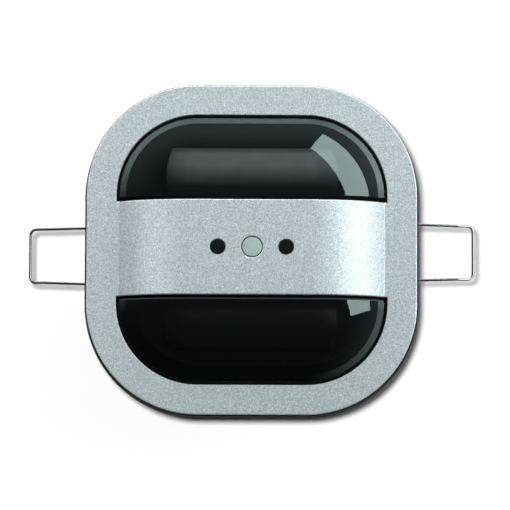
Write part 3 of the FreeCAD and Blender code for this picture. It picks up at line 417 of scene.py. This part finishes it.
def lathe(name, profile, material, centre=(0, 0), steps=96):
    shape = bmesh.new()
    rings = []
    for radius, height in profile:
        if radius == 0:
            rings.append([shape.verts.new((centre[0] * mm, centre[1] * mm, height * mm))])
            continue
        ring = []
        for step in range(steps):
            turn = 2 * math.pi * step / steps
            ring.append(shape.verts.new(((centre[0] + radius * math.cos(turn)) * mm,
                                         (centre[1] + radius * math.sin(turn)) * mm, height * mm)))
        rings.append(ring)
    for low, high in zip(rings, rings[1:]):
        for step in range(steps):
            ahead = (step + 1) % steps
            if len(low) == 1:
                shape.faces.new((low[0], high[step], high[ahead]))
            elif len(high) == 1:
                shape.faces.new((low[step], low[ahead], high[0]))
            else:
                shape.faces.new((low[step], low[ahead], high[ahead], high[step]))
    for ring in (rings[0], rings[-1]):
        if len(ring) > 1:
            shape.faces.new(ring)
    bmesh.ops.recalc_face_normals(shape, faces=shape.faces)
    return fromBmesh(name, shape, material)


def arcPoints(centre, radius, start, end, steps):
    points = []
    for step in range(steps + 1):
        turn = math.radians(start + (end - start) * step / steps)
        points.append((centre[0] + radius * math.cos(turn), centre[1] + radius * math.sin(turn)))
    return points


def bezierPoints(poles, steps):
    points = []
    for step in range(steps + 1):
        t = step / steps
        work = [Vector(p) for p in poles]
        while len(work) > 1:
            work = [a.lerp(b, t) for a, b in zip(work, work[1:])]
        points.append((work[0].x, work[0].y))
    return points


# node trees
def startTree(name, inputs):
    tree = bpy.data.node_groups.new(name, "GeometryNodeTree")
    tree.interface.new_socket("Geometry", in_out="INPUT", socket_type="NodeSocketGeometry")
    tree.interface.new_socket("Geometry", in_out="OUTPUT", socket_type="NodeSocketGeometry")
    ids = {}
    for label, kind in (*inputs, ("Material", "Material")):
        socket = tree.interface.new_socket(label, in_out="INPUT", socket_type="NodeSocket" + kind)
        ids[label] = socket.identifier
    source = tree.nodes.new("NodeGroupInput")
    result = tree.nodes.new("NodeGroupOutput")
    return tree, ids, source, result


def endTree(tree, source, result, geometry):
    realize = tree.nodes.new("GeometryNodeRealizeInstances")
    finish = tree.nodes.new("GeometryNodeSetMaterial")
    tree.links.new(geometry, realize.inputs["Geometry"])
    tree.links.new(realize.outputs["Geometry"], finish.inputs["Geometry"])
    tree.links.new(source.outputs["Material"], finish.inputs["Material"])
    tree.links.new(finish.outputs["Geometry"], result.inputs["Geometry"])


def runTree(name, mesh, tree, ids, values, material):
    obj = addObject(name, mesh, None)
    modifier = obj.modifiers.new("build", "NODES")
    modifier.node_group = tree
    for label, value in values.items():
        modifier[ids[label]] = value
    modifier[ids["Material"]] = material
    applyModifiers(obj)
    return obj


def polyline(name, points, closed=False):
    mesh = bpy.data.meshes.new(name)
    edges = [(i, i + 1) for i in range(len(points) - 1)]
    if closed:
        edges.append((len(points) - 1, 0))
    mesh.from_pydata([tuple(c * mm for c in point) for point in points], edges, [])
    return mesh


def roundSquareTree():
    tree, ids, source, result = startTree("roundSquareSweep", [
        ("Half Width", "Float"), ("Corner Radius", "Float"), ("Corner Points", "Int")])
    width = tree.nodes.new("ShaderNodeMath")
    width.operation = "MULTIPLY"
    width.inputs[1].default_value = 2.0
    square = tree.nodes.new("GeometryNodeCurvePrimitiveQuadrilateral")
    fillet = tree.nodes.new("GeometryNodeFilletCurve")
    fillet.mode = "POLY"
    upright = tree.nodes.new("GeometryNodeSetCurveNormal")
    upright.mode = "Z_UP"
    profile = tree.nodes.new("GeometryNodeMeshToCurve")
    sweep = tree.nodes.new("GeometryNodeCurveToMesh")
    link = tree.links.new
    link(source.outputs["Half Width"], width.inputs[0])
    link(width.outputs[0], square.inputs["Width"])
    link(width.outputs[0], square.inputs["Height"])
    link(square.outputs["Curve"], fillet.inputs["Curve"])
    link(source.outputs["Corner Radius"], fillet.inputs["Radius"])
    link(source.outputs["Corner Points"], fillet.inputs["Count"])
    link(fillet.outputs["Curve"], upright.inputs["Curve"])
    link(source.outputs["Geometry"], profile.inputs["Mesh"])
    link(upright.outputs["Curve"], sweep.inputs["Curve"])
    link(profile.outputs["Curve"], sweep.inputs["Profile Curve"])
    endTree(tree, source, result, sweep.outputs["Mesh"])
    return tree, ids


sweepTree, sweepIds = roundSquareTree()


def sweepRound(name, profile, half, material, closed=True, points=44):
    mesh = polyline(name, [(out, -up, 0) for out, up in profile], closed)
    radius = half - sizes["cornerCentre"]
    values = {"Half Width": half * mm, "Corner Radius": radius * mm, "Corner Points": points}
    obj = runTree(name, mesh, sweepTree, sweepIds, values, material)
    tidyMesh(obj)
    return obj


def capLoops(obj):
    shape = bmesh.new()
    shape.from_mesh(obj.data)
    bmesh.ops.remove_doubles(shape, verts=shape.verts, dist=weld)
    bmesh.ops.holes_fill(shape, edges=[e for e in shape.edges if e.is_boundary], sides=0)
    bmesh.ops.recalc_face_normals(shape, faces=shape.faces)
    shape.to_mesh(obj.data)
    shape.free()


# arched strip: bridge and channel floor; the poles are shares of the curve's run, and of its rise
arch = {"run": 25.0, "firstPole": (0.096, 0.37), "secondPole": 0.4, "footRadius": 0.55, "clear": 0.02,
        "curveSteps": 36, "bendSteps": 6, "flatSteps": 12, "edgeSteps": 5, "topSteps": 10}


def archPath(half, foot, crown, ledgeEnd):
    run, radius, steps = arch["run"], arch["footRadius"], arch["bendSteps"]
    out, up = arch["firstPole"]
    poles = [(-half, foot), (-half + out * run, foot + up * (crown - foot)),
             (-half + arch["secondPole"] * run, crown), (-half + run, crown)]
    curve = bezierPoints(poles, arch["curveSteps"])
    slope = math.atan2(curve[1][1] - curve[0][1], curve[1][0] - curve[0][0])
    centre = (-half - radius * math.tan(slope / 2), foot + radius)
    turns = [slope * i / steps for i in range(steps + 1)]
    bend = [(centre[0] + radius * math.sin(turn), centre[1] - radius * math.cos(turn)) for turn in turns]
    limit = bend[-1][1] + arch["clear"]
    left = [(-ledgeEnd, foot)] + bend + [p for p in curve if p[1] > limit]
    right = [(-x, z) for x, z in reversed(left)]
    count = arch["flatSteps"]
    flat = [(left[-1][0] + (right[0][0] - left[-1][0]) * i / count, crown) for i in range(1, count)]
    return left + flat + right


def pathTurns(path):
    # each point of an (x, z) path with the unit vector along it there
    for index, point in enumerate(path):
        before = Vector(path[max(index - 1, 0)])
        after = Vector(path[min(index + 1, len(path) - 1)])
        yield point, (after - before).normalized()


def joinRings(name, shape, rings, material):
    count = len(rings[0])
    for a, b in zip(rings, rings[1:]):
        for i in range(count):
            shape.faces.new((a[i], a[(i + 1) % count], b[(i + 1) % count], b[i]))
    shape.faces.new(rings[0])
    shape.faces.new(rings[-1])
    bmesh.ops.recalc_face_normals(shape, faces=shape.faces)
    return fromBmesh(name, shape, material)


def archStrip(name, path, halfWidth, thickness, edge, material, flatBottom=None):
    shape = bmesh.new()
    count = arch["topSteps"]
    section = arcPoints((-halfWidth + edge, -edge), edge, 180, 90, arch["edgeSteps"])
    section += [(-halfWidth + edge + (2 * halfWidth - 2 * edge) * i / count, 0) for i in range(1, count)]
    section += arcPoints((halfWidth - edge, -edge), edge, 90, 0, arch["edgeSteps"])
    rings = []
    for (x, z), along in pathTurns(path):
        normal = Vector((-along.y, along.x))
        if (x, z) in (path[0], path[-1]):
            normal = Vector((0, 1))
        ring = []
        for y, depth in section:
            ring.append(shape.verts.new(((x + normal.x * depth) * mm, y * mm, (z + normal.y * depth) * mm)))
        for y in (halfWidth, -halfWidth):
            if flatBottom is None:
                low = (x - normal.x * thickness, z - normal.y * thickness)
            else:
                low = (x, flatBottom)
            ring.append(shape.verts.new((low[0] * mm, y * mm, low[1] * mm)))
        rings.append(ring)
    return joinRings(name, shape, rings, material)


def sweptTool(name, path, section):
    # the section's points are (y, height above the path), the path's are (x, z)
    shape = bmesh.new()
    rings = []
    for (x, z), along in pathTurns(path):
        rings.append([shape.verts.new(((x - along.y * up) * mm, y * mm, (z + along.x * up) * mm))
                      for y, up in section])
    return joinRings(name, shape, rings, None)


def plainBox(name, low, high):
    shape = bmesh.new()
    bmesh.ops.create_cube(shape, size=1)
    for vert in shape.verts:
        for axis in range(3):
            vert.co[axis] = (low[axis] if vert.co[axis] < 0 else high[axis]) * mm
    return fromBmesh(name, shape, None)


# silver frame
silverFrame = {"edge": 0.5, "edgeEnd": 4, "edgeSteps": 10, "openingEdge": 0.25, "openingSteps": 4, "width": 9.9,
               "paintedDown": 0.45, "skirtIn": 2.42, "skirtWall": 1.2, "skirtDepth": 2.6, "footBevel": (0.12, 0.2),
               "ledge": 45.7, "thickness": 1.85, "bridgeEdge": 0.4, "holeEdge": 0.28, "holeFlare": 0.5, "cutDepth": 4,
               "buttonHole": 3.55, "eyeHole": 2.5, "holeSteps": 72, "sharpFrom": 34}


def makeSilverFrame():
    s = silverFrame
    top, low = sizes["faceHeight"], sizes["ringBottom"]
    out, edge, opening = s["width"], s["edge"], s["openingEdge"]
    foot = out + sizes["flare"] * (top - low) / top
    skirt = sizes["faceHalf"] - sizes["openingHalf"] - s["skirtIn"]
    first, second = s["footBevel"]
    profile = [(0, low)]
    profile += arcPoints((opening, top - opening), opening, 180, 90, s["openingSteps"])
    profile += arcPoints((out - edge, top - edge), edge, 90, s["edgeEnd"], s["edgeSteps"])
    profile += [(foot - first, low + first), (foot - second, low), (skirt, low), (skirt, low - s["skirtDepth"]),
                (skirt - s["skirtWall"], low - s["skirtDepth"]), (skirt - s["skirtWall"], low)]
    ring = sweepRound("silverFrame", profile, sizes["openingHalf"], silver)
    crown, spacing, flare = sizes["bridgeTop"], sizes["eyeSpacing"], s["holeFlare"]
    path = archPath(sizes["bridgeHalf"], top, crown, s["ledge"])
    bridge = archStrip("bridge", path, sizes["bridgeHalfWidth"], s["thickness"], s["bridgeEdge"], silver)
    for x, radius in ((0, s["buttonHole"]), (-spacing, s["eyeHole"]), (spacing, s["eyeHole"])):
        hole = [(radius, crown - s["cutDepth"]), (radius, crown - s["holeEdge"]),
                (radius + s["holeEdge"] + flare, crown + flare)]
        cutter = lathe("cutter", hole, silver, (x, 0), s["holeSteps"])
        boolean(bridge, cutter, "DIFFERENCE")
    boolean(ring, bridge, "UNION")
    tidyMesh(ring, s["sharpFrom"])
    weightNormals(ring)
    paintFaceOnly(ring)
    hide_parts("cover_frame")
    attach(ring, "housing")
    return ring


def paintFaceOnly(ring):
    # the lacquer stops on the outer rounding, and the side below it is the dark plastic of the base
    ring.data.materials.append(anthracite)
    corner = sizes["cornerCentre"]
    inside = sizes["openingHalf"] + silverFrame["width"] / 2 - corner
    for face in ring.data.polygons:
        across = max(abs(face.center.x) / mm - corner, 0)
        along = max(abs(face.center.y) / mm - corner, 0)
        if math.hypot(across, along) > inside and face.normal.z < silverFrame["paintedDown"]:
            face.material_index = 1


frameObject = makeSilverFrame()
print("silver frame made")


# tinted window
window = {"wall": 1.8, "bevel": (2.1, 1.8), "slope": 1.3, "margin": 1.0, "flange": (2.5, 1.6),
          "channelLow": 16.65, "channelHigh": 16.95, "channelTop": 14.2, "channelHalf": 41.9, "channelLedge": 1.2,
          "edgeTilt": 39.0, "lowEdge": 0.5, "highEdge": 0.4, "lip": (0.06, 0.12), "crownSteps": 30,
          "cornerPoints": 56, "cutReach": 50, "cutSpare": 1, "cutEdge": 0.01, "cutBeyond": 0.3, "sharpFrom": 16}


def cushionProfile(edge, crown, bottom, radius):
    across, rise = window["bevel"]
    shoulder = edge + rise
    bend = bezierPoints([(-across, shoulder), (-across - (crown - shoulder) * window["slope"], crown),
                         (-radius + window["margin"], crown)], window["crownSteps"])
    inward, down = window["lip"]
    return [(0, bottom), (0, edge - down), (-inward, edge)] + bend


def makeCushion(name, half, edge, crown, bottom, material):
    profile = cushionProfile(edge, crown, bottom, half - sizes["cornerCentre"])
    solid = sweepRound(name, profile, half, material, closed=False, points=window["cornerPoints"])
    capLoops(solid)
    return solid


def channelStrip(name, half, foot, top, halfWidth, bottom):
    path = archPath(half, foot, top, half + window["channelLedge"])
    spare = window["cutSpare"]
    return archStrip(name, path, halfWidth + spare, spare, window["cutEdge"], smoked, flatBottom=bottom)


def makeWindow():
    w = window
    half, edge, crown = sizes["windowHalf"], sizes["windowEdge"], sizes["windowCrown"]
    wide, thick = w["flange"]
    wall, reach, spare = w["wall"], w["cutReach"], w["cutSpare"]
    foot = sizes["ringBottom"]
    low = foot - thick
    dome = makeCushion("smokedWindow", half, edge, crown, low, smoked)
    flange = sweepRound("flange", [(0, low), (wide, low), (wide, foot), (0, foot)], half - w["cutEdge"], smoked)
    floor = channelStrip("channelFloor", w["channelHalf"], foot, w["channelTop"], w["channelHigh"], low - spare)
    above = plainBox("channel", (-reach, -w["channelLow"], foot), (reach, w["channelHigh"], crown + 2 * spare))
    boolean(above, floor, "DIFFERENCE")
    boolean(dome, above, "DIFFERENCE")
    hollow = makeCushion("hollow", half - wall, edge - wall, crown - wall, low - spare, smokedInside)
    web = w["channelHigh"] + wall
    kept = plainBox("kept", (-reach, -web, low - 2 * spare), (reach, web, crown))
    under = channelStrip("under", w["channelHalf"] - wall, foot, w["channelTop"] - wall, web, low - 3 * spare)
    boolean(kept, under, "DIFFERENCE")
    boolean(hollow, kept, "DIFFERENCE")
    hollow.data.materials.clear()
    hollow.data.materials.append(smokedInside)
    boolean(dome, hollow, "DIFFERENCE")
    boolean(dome, flange, "UNION")
    breakEdge(dome, -w["channelLow"], -w["lowEdge"])
    breakEdge(dome, w["channelHigh"], w["highEdge"])
    tidyMesh(dome, w["sharpFrom"])
    splitBevel(dome, edge + w["bevel"][1])
    paintInside(dome)
    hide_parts("window_dome")
    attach(dome, "housing")


def breakEdge(dome, wall, width):
    # a narrow bevel along one edge beside the bridge; the lower one carries a painted highlight, a thin line of
    # lighter colour laid on in paintInside
    half = sizes["windowHalf"]
    profile = cushionProfile(sizes["windowEdge"], sizes["windowCrown"], 0, half - sizes["cornerCentre"])[2:]
    left = [(-half - out, up) for out, up in profile]
    path = left + [(-x, z) for x, z in reversed(left)]
    fall = math.tan(math.radians(window["edgeTilt"]))
    way = math.copysign(1, wall)
    beyond, spare = window["cutBeyond"], window["cutSpare"]
    outer, inner = wall + width + way * beyond, wall - way * beyond
    section = [(outer, beyond * fall), (inner, -(abs(width) + beyond) * fall), (inner, spare), (outer, spare)]
    boolean(dome, sweptTool("edgeTool", path, section), "DIFFERENCE")


def splitBevel(dome, height):
    # the line where the bevel meets the crown stays crisp
    points = dome.data.vertices
    near = 0.02
    for side in dome.data.edges:
        if all(abs(points[i].co.z / mm - height) < near for i in side.vertices):
            side.use_edge_sharp = True
    weightNormals(dome)


def paintInside(dome):
    # painted shade: the channel under the bridge and the upper window's bevel beside it are matt black, and the lower
    # window's bevel gets a painted highlight, a lighter satin line
    dome.data.materials.clear()
    for material in (smoked, smokedInside, black, paintedHighlightRim):
        dome.data.materials.append(material)
    low, high = -window["channelLow"], window["channelHigh"]
    near, tilted, downward = 0.01, 0.3, -0.05
    for face in dome.data.polygons:
        y, normal = face.center.y / mm, face.normal
        face.material_index = 0
        if normal.z < downward:
            face.material_index = 1
        elif low - near < y < high + near or (high < y < high + window["highEdge"] and normal.y < -tilted):
            face.material_index = 2
        elif low - window["lowEdge"] < y < low and normal.y > tilted:
            face.material_index = 3


makeWindow()
print("window made")


# button and eyes
button = {"radius": 3.25, "edge": 0.3, "crown": 0.12, "collar": 4.45, "collarLow": 13.5, "collarHigh": 14.2,
          "stem": 1.7, "foot": 9.6, "footBevel": 0.2, "edgeEnd": 80, "edgeSteps": 6, "steps": 8, "sharpFrom": 40}
eyes = {"radius": 2.45, "crown": 0.14, "collar": 3.35, "collarLow": 13.5, "collarHigh": 14.2, "stem": 1.7,
        "feet": {"light_sensor_eye": 6.3, "receiver_eye": 9.5}, "steps": 12, "sharpFrom": 40}


def makeButton():
    b = button
    top, bevel, steps = sizes["bridgeTop"], b["footBevel"], b["steps"]
    flat = b["radius"] - b["edge"]
    profile = [(0, b["foot"]), (b["stem"] - bevel, b["foot"]), (b["stem"], b["foot"] + bevel),
               (b["stem"], b["collarLow"]), (b["collar"], b["collarLow"]), (b["collar"], b["collarHigh"]),
               (b["radius"], b["collarHigh"])]
    profile += arcPoints((flat, top - b["edge"] - b["crown"]), b["edge"], 0, b["edgeEnd"], b["edgeSteps"])
    shares = [1 - i / steps for i in range(1, steps + 1)]
    profile += [(flat * share, top - b["crown"] * share ** 2) for share in shares]
    obj = lathe("programButton", profile, key)
    tidyMesh(obj, b["sharpFrom"], turn=False)
    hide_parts("program_button")
    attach(obj, "button")


def makeEye(name, node, x):
    e = eyes
    top = sizes["bridgeTop"]
    ball = (e["radius"] ** 2 + e["crown"] ** 2) / (2 * e["crown"])
    low = e["feet"][node]
    profile = [(0, low), (e["stem"], low), (e["stem"], e["collarLow"]), (e["collar"], e["collarLow"]),
               (e["collar"], e["collarHigh"]), (e["radius"], e["collarHigh"])]
    reach = math.degrees(math.asin(e["radius"] / ball))
    cap = arcPoints((0, top + e["crown"] - ball), ball, 90 - reach, 90, e["steps"])
    profile += cap[:-1] + [(0, top + e["crown"])]
    obj = lathe(name, profile, eyeFilter, (x, 0))
    tidyMesh(obj, e["sharpFrom"], turn=False)
    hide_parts(node)
    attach(obj, "housing")


makeButton()
makeEye("lightSensorEye", "light_sensor_eye", -sizes["eyeSpacing"])
makeEye("receiverEye", "receiver_eye", sizes["eyeSpacing"])
print("button and eyes made")


# lenses
barrel = {"half": 28.4, "inner": 13.8, "outer": 33.8, "low": 7.0, "height": 5.1, "wall": 0.9, "footWall": 1.35,
          "bulge": 2.0, "taper": 0.16, "taperFrom": 0.78, "rim": 0.3, "rimHeight": 0.86, "seat": 0.02,
          "cutDepth": 1, "across": 36, "along": 30, "sharpFrom": 40}


def barrelForm(name, half, width, height, low, floor, material):
    b = barrel
    radius = (width ** 2 / 4 + height ** 2) / (2 * height)
    shape = bmesh.new()
    top, base = [], []
    rows = [(-1 + 2 * j / b["along"], 0, 1) for j in range(b["along"] + 1)]
    rows = [(-1, b["rim"], b["rimHeight"])] + rows + [(1, b["rim"], b["rimHeight"])]
    for share, beyond, squat in rows:
        ring, foot = [], []
        for i in range(b["across"] + 1):
            y = -width / 2 + width * i / b["across"]
            reach = half - b["rim"] - b["bulge"] * (2 * y / width) ** 2
            x = share * (reach + beyond)
            rise = math.sqrt(radius ** 2 - y ** 2) - (radius - height)
            fade = max(0, abs(share) - b["taperFrom"]) / (1 - b["taperFrom"])
            z = low + max(0, rise) * (1 - b["taper"] * fade ** 2) * squat
            ring.append(shape.verts.new((x * mm, y * mm, z * mm)))
            foot.append(shape.verts.new((x * mm, y * mm, floor * mm)))
        top.append(ring)
        base.append(foot)
    for rings in (top, base):
        for row, ahead in zip(rings, rings[1:]):
            for i in range(len(row) - 1):
                shape.faces.new((row[i], ahead[i], ahead[i + 1], row[i + 1]))
    for above, below in ((top[0], base[0]), (top[-1], base[-1])):
        for i in range(len(above) - 1):
            shape.faces.new((above[i], above[i + 1], below[i + 1], below[i]))
    for i in (0, -1):
        for above, aheadAbove, below, aheadBelow in zip(top, top[1:], base, base[1:]):
            shape.faces.new((above[i], aheadAbove[i], aheadBelow[i], below[i]))
    bmesh.ops.remove_doubles(shape, verts=shape.verts, dist=weld)
    bmesh.ops.recalc_face_normals(shape, faces=shape.faces)
    return fromBmesh(name, shape, material)


def makeLens(name, node, side, material):
    b = barrel
    width = b["outer"] - b["inner"]
    lens = barrelForm(name, b["half"], width, b["height"], b["low"], b["low"] - b["seat"], material)
    hollow = barrelForm("hollow", b["half"] - b["wall"], width - 2 * b["footWall"], b["height"] - b["wall"],
                        b["low"], b["low"] - b["cutDepth"], material)
    boolean(lens, hollow, "DIFFERENCE")
    for point in lens.data.vertices:
        point.co.y += side * (b["outer"] + b["inner"]) / 2 * mm
    tidyMesh(lens, b["sharpFrom"])
    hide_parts(node)
    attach(lens, "housing")


makeLens("upperLens", "upper_lens", 1, milky)
makeLens("lowerLens", "lower_lens", -1, shadedLensFilm)
print("lenses made")


# wire springs
wire = {"radius": 0.475, "sides": 18, "reach": 74.025, "half": 10.1, "tipHalf": 8.95, "leftY": -1.5,
        "rightY": 0.2, "bend": 2.0, "bendSteps": 10, "kink": 5.0, "drop": 1.2, "legZ": -3.0, "pinX": 31.0,
        "pinZ": -5.0, "coil": 2.0, "coilSteps": 26, "turns": 2.25, "pitch": 1.0, "tail": 4.0, "sharpFrom": 50}


def wireTree():
    tree, ids, source, result = startTree("wireSweep", [("Wire Radius", "Float"), ("Sides", "Int")])
    path = tree.nodes.new("GeometryNodeMeshToCurve")
    ring = tree.nodes.new("GeometryNodeCurvePrimitiveCircle")
    sweep = tree.nodes.new("GeometryNodeCurveToMesh")
    sweep.inputs["Fill Caps"].default_value = True
    link = tree.links.new
    link(source.outputs["Geometry"], path.inputs["Mesh"])
    link(source.outputs["Wire Radius"], ring.inputs["Radius"])
    link(source.outputs["Sides"], ring.inputs["Resolution"])
    link(path.outputs["Curve"], sweep.inputs["Curve"])
    link(ring.outputs["Curve"], sweep.inputs["Profile Curve"])
    endTree(tree, source, result, sweep.outputs["Mesh"])
    return tree, ids


wireSweep, wireIds = wireTree()


def roundCorners(corners, radius, steps):
    points = [corners[0]]
    for before, corner, after in zip(corners, corners[1:], corners[2:]):
        back = (before - corner).normalized()
        ahead = (after - corner).normalized()
        half = back.angle(ahead) / 2
        centre = corner + (back + ahead).normalized() * radius / math.sin(half)
        first = corner + back * radius / math.tan(half)
        last = corner + ahead * radius / math.tan(half)
        for step in range(steps + 1):
            arm = (first - centre).slerp(last - centre, step / steps)  # slerp gives a unit vector
            points.append(centre + arm * radius)
    points.append(corners[-1])
    return points


def coilPoints(way):
    points = []
    steps = wire["coilSteps"]
    for step in range(int(wire["turns"] * steps) + 1):
        turn = 2 * math.pi * step / steps
        points.append(Vector((wire["pinX"] - wire["coil"] * math.sin(turn),
                              way * (wire["half"] - wire["pitch"] * step / steps),
                              wire["pinZ"] + wire["coil"] * math.cos(turn))))
    tail = points[-1].copy()
    tail.z -= wire["tail"]
    return points + [tail]


def makeSpring(name, node, body, side):
    w = wire
    kink = w["reach"] - w["kink"]
    low = w["legZ"] - w["drop"]
    lower = [Vector(p) for p in (
        (w["pinX"], -w["half"], w["legZ"]), (kink, -w["tipHalf"], w["legZ"]), (w["reach"], -w["tipHalf"], low))]
    upper = [Vector((p.x, -p.y, p.z)) for p in reversed(lower)]
    loop = roundCorners(lower + upper, w["bend"], w["bendSteps"])
    route = list(reversed(coilPoints(-1))) + loop[1:-1] + coilPoints(1)
    middle = w["rightY"] if side > 0 else w["leftY"]
    points = [(side * p.x, p.y + middle, p.z) for p in route]
    values = {"Wire Radius": w["radius"] * mm, "Sides": w["sides"]}
    obj = runTree(name, polyline(name, points), wireSweep, wireIds, values, wireSteel)
    tidyMesh(obj, w["sharpFrom"])
    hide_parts(node)
    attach(obj, body)


makeSpring("leftSpringWire", "left_spring", "left_arm", -1)
makeSpring("rightSpringWire", "right_spring", "right_arm", 1)
print("springs made")


# floor, lamps and world
studio = {
    "floorHalf": 4.0, "floorColor": 0.17, "floorRoughness": 0.9, "whiteFrom": (0.11, 0.16),
    # place and facing direction in metres; four lamps light the silver moulding alone, for its sheen
    "lamps": [
        {"name": "rightSoftbox", "place": (0.4911, 0.4354, 0.7545), "facing": (-0.8174, -0.4852, -0.3106),
         "width": 1.188, "height": 0.595, "power": 10.15, "mirrored": True, "silverOnly": False},
        {"name": "rightSheen", "place": (0.74, 0.0, 0.32), "facing": (-0.74, 0.0, -0.32),
         "width": 0.50, "height": 0.50, "power": 0.80, "mirrored": True, "silverOnly": True},
        {"name": "leftSheen", "place": (-0.45, 0.05, 0.62), "facing": (0.45, -0.05, -0.62),
         "width": 0.45, "height": 0.45, "power": 1.16, "mirrored": True, "silverOnly": True},
        {"name": "topFill", "place": (-0.05, 0.20, 0.20), "facing": (0.05, -0.20, -0.20),
         "width": 0.20, "height": 0.20, "power": 0.18, "mirrored": False, "silverOnly": False},
        {"name": "backEdgeSheen", "place": (0.0, 0.80, 0.115), "facing": (0.0, -0.80, -0.11),
         "width": 0.90, "height": 0.08, "power": 4.2, "mirrored": True, "silverOnly": True},
        {"name": "leftEdgeSheen", "place": (-0.62, 0.52, 0.115), "facing": (0.62, -0.52, -0.11),
         "width": 0.50, "height": 0.08, "power": 1.5, "mirrored": True, "silverOnly": True},
    ],
    "lampColor": (0.97, 1.0, 1.0),
    # lights the floor alone, for the soft shadow beside the object
    "floorKey": {"place": (-0.0397, -0.0850, 1.20), "power": 87.0, "size": 0.064},
    # back, right, left, wallTop and sky are the two ends of a fade along one part of the viewing direction
    "world": {"color": (0.93, 0.98, 1.0), "back": (-0.05, 1.0), "right": (0.0, 0.3), "rightFrom": 0.37,
              "left": (0.1, 0.6), "horizonBack": 1.4, "horizonRight": 2.6, "horizonLeft": 0.9,
              "horizonTop": 0.19, "horizonSoft": 0.015, "horizonLean": 0.08, "wall": 0.31, "rightWall": 0.44,
              "wallTop": (0.48, 0.84), "sky": (-0.5, 0.3), "skyShades": (0.0182, 0.065)},
}


def mixShaders(tree, factor, first, second, output):
    mix = tree.nodes.new("ShaderNodeMixShader")
    tree.links.new(factor, mix.inputs[0])
    tree.links.new(first.outputs[0], mix.inputs[1])
    tree.links.new(second.outputs[0], mix.inputs[2])
    tree.links.new(mix.outputs[0], tree.nodes[output].inputs["Surface"])


def makeFloor():
    shape = bmesh.new()
    bmesh.ops.create_grid(shape, x_segments=2, y_segments=2, size=studio["floorHalf"])
    for vert in shape.verts:
        vert.co.z = sizes["floor"] * mm
    material = bpy.data.materials.new("paleFloor")
    material.use_nodes = True
    tree = material.node_tree
    shader = tree.nodes["Principled BSDF"]
    pale = studio["floorColor"]
    shader.inputs["Base Color"].default_value = (pale, pale, pale, 1)
    shader.inputs["Roughness"].default_value = studio["floorRoughness"]
    shader.inputs["Specular IOR Level"].default_value = 0.0
    # plain white for the camera away from the object, so only the shadow's own patch is lit by the lamp
    place = tree.nodes.new("ShaderNodeTexCoord").outputs["Object"]
    reach = tree.nodes.new("ShaderNodeVectorMath")
    reach.operation = "LENGTH"
    tree.links.new(place, reach.inputs[0])
    near, far = studio["whiteFrom"]
    share = spread(tree, reach.outputs["Value"], 0.0, 1.0, near, far)
    path = tree.nodes.new("ShaderNodeLightPath").outputs
    seen = addMath(tree, "MAXIMUM", path["Is Camera Ray"], path["Is Glossy Ray"])
    seen = addMath(tree, "MAXIMUM", seen, path["Is Transmission Ray"])
    glow = tree.nodes.new("ShaderNodeEmission")
    mixShaders(tree, addMath(tree, "MULTIPLY", share, seen), shader, glow, "Material Output")
    floor = fromBmesh("paleFloor", shape, material)
    return floor


def addLamp(name, place, facing):
    data = bpy.data.lights.new(name, "AREA")
    lamp = bpy.data.objects.new(name, data)
    scene.collection.objects.link(lamp)
    lamp.location = place
    lamp.rotation_mode = "QUATERNION"
    lamp.rotation_quaternion = Vector(facing).to_track_quat("-Z", "Y")
    lamp.visible_camera = False
    return lamp


def lightOnly(lamp, target):
    lit = bpy.data.collections.new(lamp.name + "Target")
    lit.objects.link(target)
    lamp.light_linking.receiver_collection = lit


def makeLamps(floor):
    for setup in studio["lamps"]:
        lamp = addLamp(setup["name"], setup["place"], setup["facing"])
        lamp.data.shape = "RECTANGLE"
        lamp.data.size, lamp.data.size_y = setup["width"], setup["height"]
        lamp.data.energy = setup["power"]
        lamp.data.color = studio["lampColor"]
        lamp.visible_glossy = setup["mirrored"]
        if setup["silverOnly"]:
            lightOnly(lamp, frameObject)
    k = studio["floorKey"]
    lamp = addLamp("floorKey", k["place"], -Vector(k["place"]))
    lamp.data.shape = "DISK"
    lamp.data.size = k["size"]
    lamp.data.energy = k["power"]
    lamp.visible_glossy = False
    lightOnly(lamp, floor)


def makeWorld():
    w = studio["world"]
    world = bpy.data.worlds.new("paleRoom")
    world.use_nodes = True
    scene.world = world
    tree = world.node_tree
    fill = tree.nodes["Background"]
    fill.inputs["Color"].default_value = (*w["color"], 1)

    def times(first, second):
        return addMath(tree, "MULTIPLY", first, second)

    def plus(first, second):
        return addMath(tree, "ADD", first, second)

    # a dim room with a pale band along the horizon, brighter behind the object and to both sides
    way = tree.nodes.new("ShaderNodeSeparateXYZ")
    tree.links.new(tree.nodes.new("ShaderNodeTexCoord").outputs["Generated"], way.inputs[0])
    across, along, up = way.outputs
    right = addMath(tree, "MAXIMUM", across, 0.0)
    right = times(times(right, right), spread(tree, along, w["rightFrom"], 1.0, *w["right"]))
    left = addMath(tree, "MAXIMUM", times(across, -1.0), 0.0)
    left = times(times(left, left), spread(tree, along, 0.0, 1.0, *w["left"]))
    back = spread(tree, along, 0.0, 1.0, *w["back"])
    height = plus(up, times(along, w["horizonLean"]))
    band = spread(tree, height, 1.0, 0.0, w["horizonTop"] - w["horizonSoft"], w["horizonTop"])
    horizon = plus(times(back, w["horizonBack"]), times(right, w["horizonRight"]))
    horizon = times(plus(horizon, times(left, w["horizonLeft"])), band)
    room = plus(times(back, w["wall"]), times(right, w["rightWall"]))
    room = times(room, spread(tree, up, 1.0, 0.0, *w["wallTop"]))
    sky = spread(tree, along, *w["skyShades"], *w["sky"])
    tree.links.new(plus(plus(horizon, room), sky), fill.inputs["Strength"])
    white = tree.nodes.new("ShaderNodeBackground")
    white.inputs["Strength"].default_value = 1.0
    path = tree.nodes.new("ShaderNodeLightPath").outputs
    mixShaders(tree, path["Is Camera Ray"], fill, white, "World Output")


makeLamps(makeFloor())
makeWorld()
scene.view_settings.view_transform = "Standard"
print("stage and lamps set")
